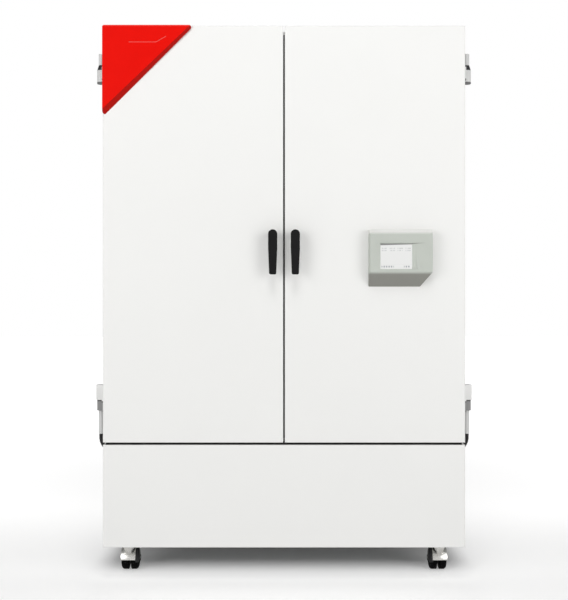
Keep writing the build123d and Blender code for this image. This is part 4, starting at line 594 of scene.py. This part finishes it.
boot_radius, rib_thickness, rib_pitch = 0.008, 0.0011, 0.0042
boot_x, boot_y, boot_top = boot_high[0] - boot_radius, (boot_low[1] + boot_high[1]) / 2, bracket_low[2]
bend_angle, straight = math.radians(55), 0.014
bend_radius = (boot_x - side_high[0]) / (1 - math.cos(bend_angle))
straight_steps, bend_steps, bare_steps = 4, 14, 3
angles = [bend_angle * n / bend_steps for n in range(bend_steps + 1 - bare_steps)]
for side, name in ((-1, "left"), (1, "right")):
    path = [(side * boot_x, boot_y, boot_top - straight * n / straight_steps) for n in range(straight_steps)]
    path += [(side * (boot_x - bend_radius * (1 - math.cos(angle))), boot_y,
              boot_top - straight - bend_radius * math.sin(angle)) for angle in angles]
    line = new_mesh(f"boot_ribs_{name}", path, edges=[(n, n + 1) for n in range(len(path) - 1)])
    ribs = grow(line, rib_tree, {"Radius": boot_radius, "Thickness": rib_thickness, "Pitch": rib_pitch,
                                 "Finish": boot_rubber})
    for face in ribs.data.polygons:
        face.use_smooth = True
    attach(ribs, "cabinet")


# Castors
# Twin-wheel castors with a pressed, nickel-plated hood, black plastic wheels with a hard tread, and on the
# front ones a black brake lever. The plates are bolted up into the frame's corners.

plating = Surface("nickel_plate", {"Metallic": 1.0})
haze = plating.grain(120, detail=3)
nickel = plating.wear(plating.mix(haze, (0.72, 0.71, 0.68), (0.82, 0.81, 0.78)), 0.2 + haze * 0.12,
                      plating.grain(500), 0.00002)
tread = Surface("black_wheel", {"Specular IOR Level": 0.04})
scuff = tread.grain(180, detail=4)
black_wheel = tread.wear(tread.mix(scuff, (0.002, 0.002, 0.0022), (0.0055, 0.0055, 0.0058)),
                         0.5 + scuff * 0.2, scuff, 0.00006)
satin = Surface("satin_black", {"Specular IOR Level": 0.25})
mist = satin.grain(90, detail=3)
satin_black = satin.wear(satin.mix(mist, (0.012, 0.012, 0.013), (0.02, 0.02, 0.021)), 0.34 + mist * 0.1,
                         satin.grain(700), 0.00004)
softened("castor_plates", 0.0006, bright_zinc, segments=2)
for name in ("front_left", "front_right", "rear_left", "rear_right"):
    softened(f"castor_fork_{name}", 0.0006, nickel, segments=2)
    softened(f"castor_wheels_{name}", 0.0006, black_wheel, segments=2)
for name in ("front_left", "front_right"):
    softened(f"castor_brake_{name}", 0.0007, satin_black, segments=2)
plate_size, plate_foot, bolt_out, bolt_head = 0.072, 0.121, 0.028, 0.005
dish_out, trail, wheel_radius, axle_head = 0.0268, 0.03, 0.04, 0.0085
plates_low, plates_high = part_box("castor_plates")
bolts = []
for side, x_edge in ((-1, plates_low[0]), (1, plates_high[0])):
    for row, y in (("front", plates_low[1] + plate_size / 2), ("rear", plates_high[1] - plate_size / 2)):
        x = x_edge - side * plate_size / 2
        bolts += [(x + dx, y + dy, plate_foot) for dx in (-bolt_out, bolt_out) for dy in (-bolt_out, bolt_out)]
        name = f"{row}_{'left' if side < 0 else 'right'}"
        for out in (side,) if row == "front" else (-1, 1):
            screws(f"axle_bolt_{name}_{'inner' if out != side else 'outer'}",
                   [(x + out * dish_out, y + trail, wheel_radius)], "+X" if out > 0 else "-X", axle_head,
                   bodies_of[f"castor_fork_{name}"])
screws("castor_plate_bolts", bolts, "-Z", bolt_head, "cabinet")


# Glass doors
# Tempered clear glass, 6 mm thick, with polished edges. Each pane is held by polished steel clamps and hangs
# on pivot pins in the liner's recess.

clear = Surface("clear_glass", {"Transmission Weight": 1.0, "IOR": 1.45})
smudge = clear.grain(6, detail=3)
clear_glass = clear.wear(clear.mix(smudge, (0.93, 0.97, 0.96), (0.96, 0.985, 0.98)), 0.01 + smudge * 0.03)
dress(clear_glass, "left_glass_pane", "right_glass_pane")


# Plant in the base and behind the duct sheets
# The compressor and the condenser's fan are black enamelled, and the coils, the large fan wheel and its motor
# are aluminium. The electrics box and the welded base frame are enamelled grey.

fins = Surface("fin_aluminium", {"Metallic": 1.0})
drift = fins.grain(45, detail=3)
fin_aluminium = fins.wear(fins.mix(drift, (0.6, 0.61, 0.62), (0.72, 0.73, 0.74)), 0.34 + drift * 0.14,
                          fins.grain(800), 0.00003)
dress(fin_aluminium, "evaporator", "condenser", "circulation_fan", "fan_motor")
dress(satin_black, "compressor", "condenser_fan")
dress(powder_coat("grey_enamel", (0.42, 0.43, 0.43), (0.38, 0.39, 0.39), 0.42), "electrics_box", "base_frame")


# Service panel, port and rear fittings
# A black moulded tray in the right side with its sockets and a rocker switch, a grey flanged tube through the
# left wall with a silicone plug, and turned brass hose spigots with a cable gland at the rear.

grey = Surface("grey_moulding", {"Specular IOR Level": 0.4})
pits = grey.grain(1900, detail=1)
grey_moulding = grey.wear(grey.mix(grey.grain(16), (0.56, 0.575, 0.535), (0.6, 0.615, 0.575)),
                          0.42 + pits * 0.1, pits, 0.00004)
dress(satin_black, "main_switch")
softened("service_panel", 0.0005, black_moulding, segments=2)
softened("access_port", 0.0006, grey_moulding, segments=2)
turned = Surface("turned_brass", {"Metallic": 1.0})
rings = turned.grain(900, (1, 0.05, 1), detail=2)
turned_brass = turned.wear(turned.mix(rings, (0.62, 0.47, 0.24), (0.74, 0.58, 0.32)), 0.24 + rings * 0.16,
                           rings, 0.00003)
softened("rear_fittings", 0.0006, turned_brass, segments=2)


# Studio
# A pale floor under soft light from both sides and above. The camera stands level in front of the chamber,
# a little over three metres from the doors and just lower than the controller.

photo_width, focal_pixels, sensor, camera_distance, camera_height = 568, 899.0, 36.0, 3.1, 0.979
lens = bpy.data.cameras.new("camera")
lens.sensor_fit, lens.sensor_width = "HORIZONTAL", sensor
lens.lens = focal_pixels / photo_width * sensor
lens.clip_end = 100.0
camera = put("camera", lens)
camera.location = (0, door_low[1] - camera_distance, camera_height)
camera.rotation_euler = (math.pi / 2, 0, 0)
bpy.context.scene.camera = camera

world = bpy.data.worlds.new("studio")
world.use_nodes = True
bpy.context.scene.world = world
air = Nodes(world.node_tree)
ray = air.add("ShaderNodeLightPath").socket.node.outputs
camera_ray, through_glass, shine = (
    Link(air, ray[f"Is {kind} Ray"]) for kind in ("Camera", "Transmission", "Glossy"))
seen = camera_ray.maths("MAXIMUM", camera_ray, through_glass)
ambient, mirrored = 0.31, 0.6
strength = ambient + seen * (1 - ambient) + shine * (1 - seen) * (mirrored - ambient)
air.feed(world.node_tree.nodes["Background"].inputs["Strength"], strength)
world.node_tree.nodes["Background"].inputs["Color"].default_value = (1, 1, 1, 1)

ground = Surface("studio_floor", {"Specular IOR Level": 0.1})
paper = ground.grain(2.0, detail=2)
ground.wear(ground.mix(paper, (0.86, 0.86, 0.86), (0.88, 0.88, 0.88)), 0.85 + paper * 0.05)

# Painted light: the floor glows faintly beside and before the cabinet and towards the horizon, standing in
# for light from the sides. The glow fades out under the cabinet's front, so the shadow there is partly
# painted, and a share of the glow also lights the cabinet.
ray = ground.add("ShaderNodeLightPath").socket.node.outputs
seen = Link(ground, ray["Is Camera Ray"]) + Link(ground, ray["Is Transmission Ray"])
radius = (ground.x * ground.x + ground.y * ground.y) ** 0.5
horizon = ground.rise(radius, 1.4, 5.0)
beside = ground.rise(abs(ground.x), 0.6, 0.72)
behind = ground.rise(ground.y, -0.2, 0.8)
before = ground.rise(0 - ground.y, 0.3, 0.5)
side_painted_light, rear_more, front_less, near_painted_light, near_less, far_painted_light = 0.37, 0.24, 0.03, 0.46, 0.16, 0.3
painted_light_near = ground.rise(0 - ground.y, 0.12, 0.34) * near_painted_light - before * near_less
painted_light_beside = side_painted_light + behind * rear_more - before * front_less
strength = beside * painted_light_beside + (1 - beside) * painted_light_near + horizon * far_painted_light
bounce, reach = 0.4, 20.0
glow = ground.add("ShaderNodeEmission", None,
                  {"Color": (1, 1, 1, 1), "Strength": (seen * (1 - bounce) + bounce) * strength})
both = ground.add("ShaderNodeAddShader", None, [Link(ground, ground.shader.outputs[0]), glow])
ground.feed(ground.tree.nodes["Material Output"].inputs["Surface"], both)
floor = new_mesh("floor", [(-reach, -reach, 0), (reach, -reach, 0), (reach, reach, 0), (-reach, reach, 0)],
                 faces=[(0, 1, 2, 3)], material=ground.material)


def lamp(name, place, aim, size, power):
    """A square soft box that looks at a point."""
    data = bpy.data.lights.new(name, "AREA")
    data.shape, data.size, data.energy, data.color = "SQUARE", size, power, (1.0, 0.998, 0.99)
    light = put(name, data)
    light.location = place
    light.rotation_euler = (Vector(aim) - Vector(place)).to_track_quat("-Z", "Y").to_euler()


side_x, side_size, side_power = 3.2, 2.4, 60
for side, name in ((-1, "left_box"), (1, "right_box")):
    lamp(name, (side * side_x, -3.9, 1.8), (0, 0, 0.7), side_size, side_power)
lamp("top_box", (0, -2.8, 4.4), (0, 0, 1.1), 1.5, 42)

bpy.context.scene.view_settings.view_transform = "Standard"
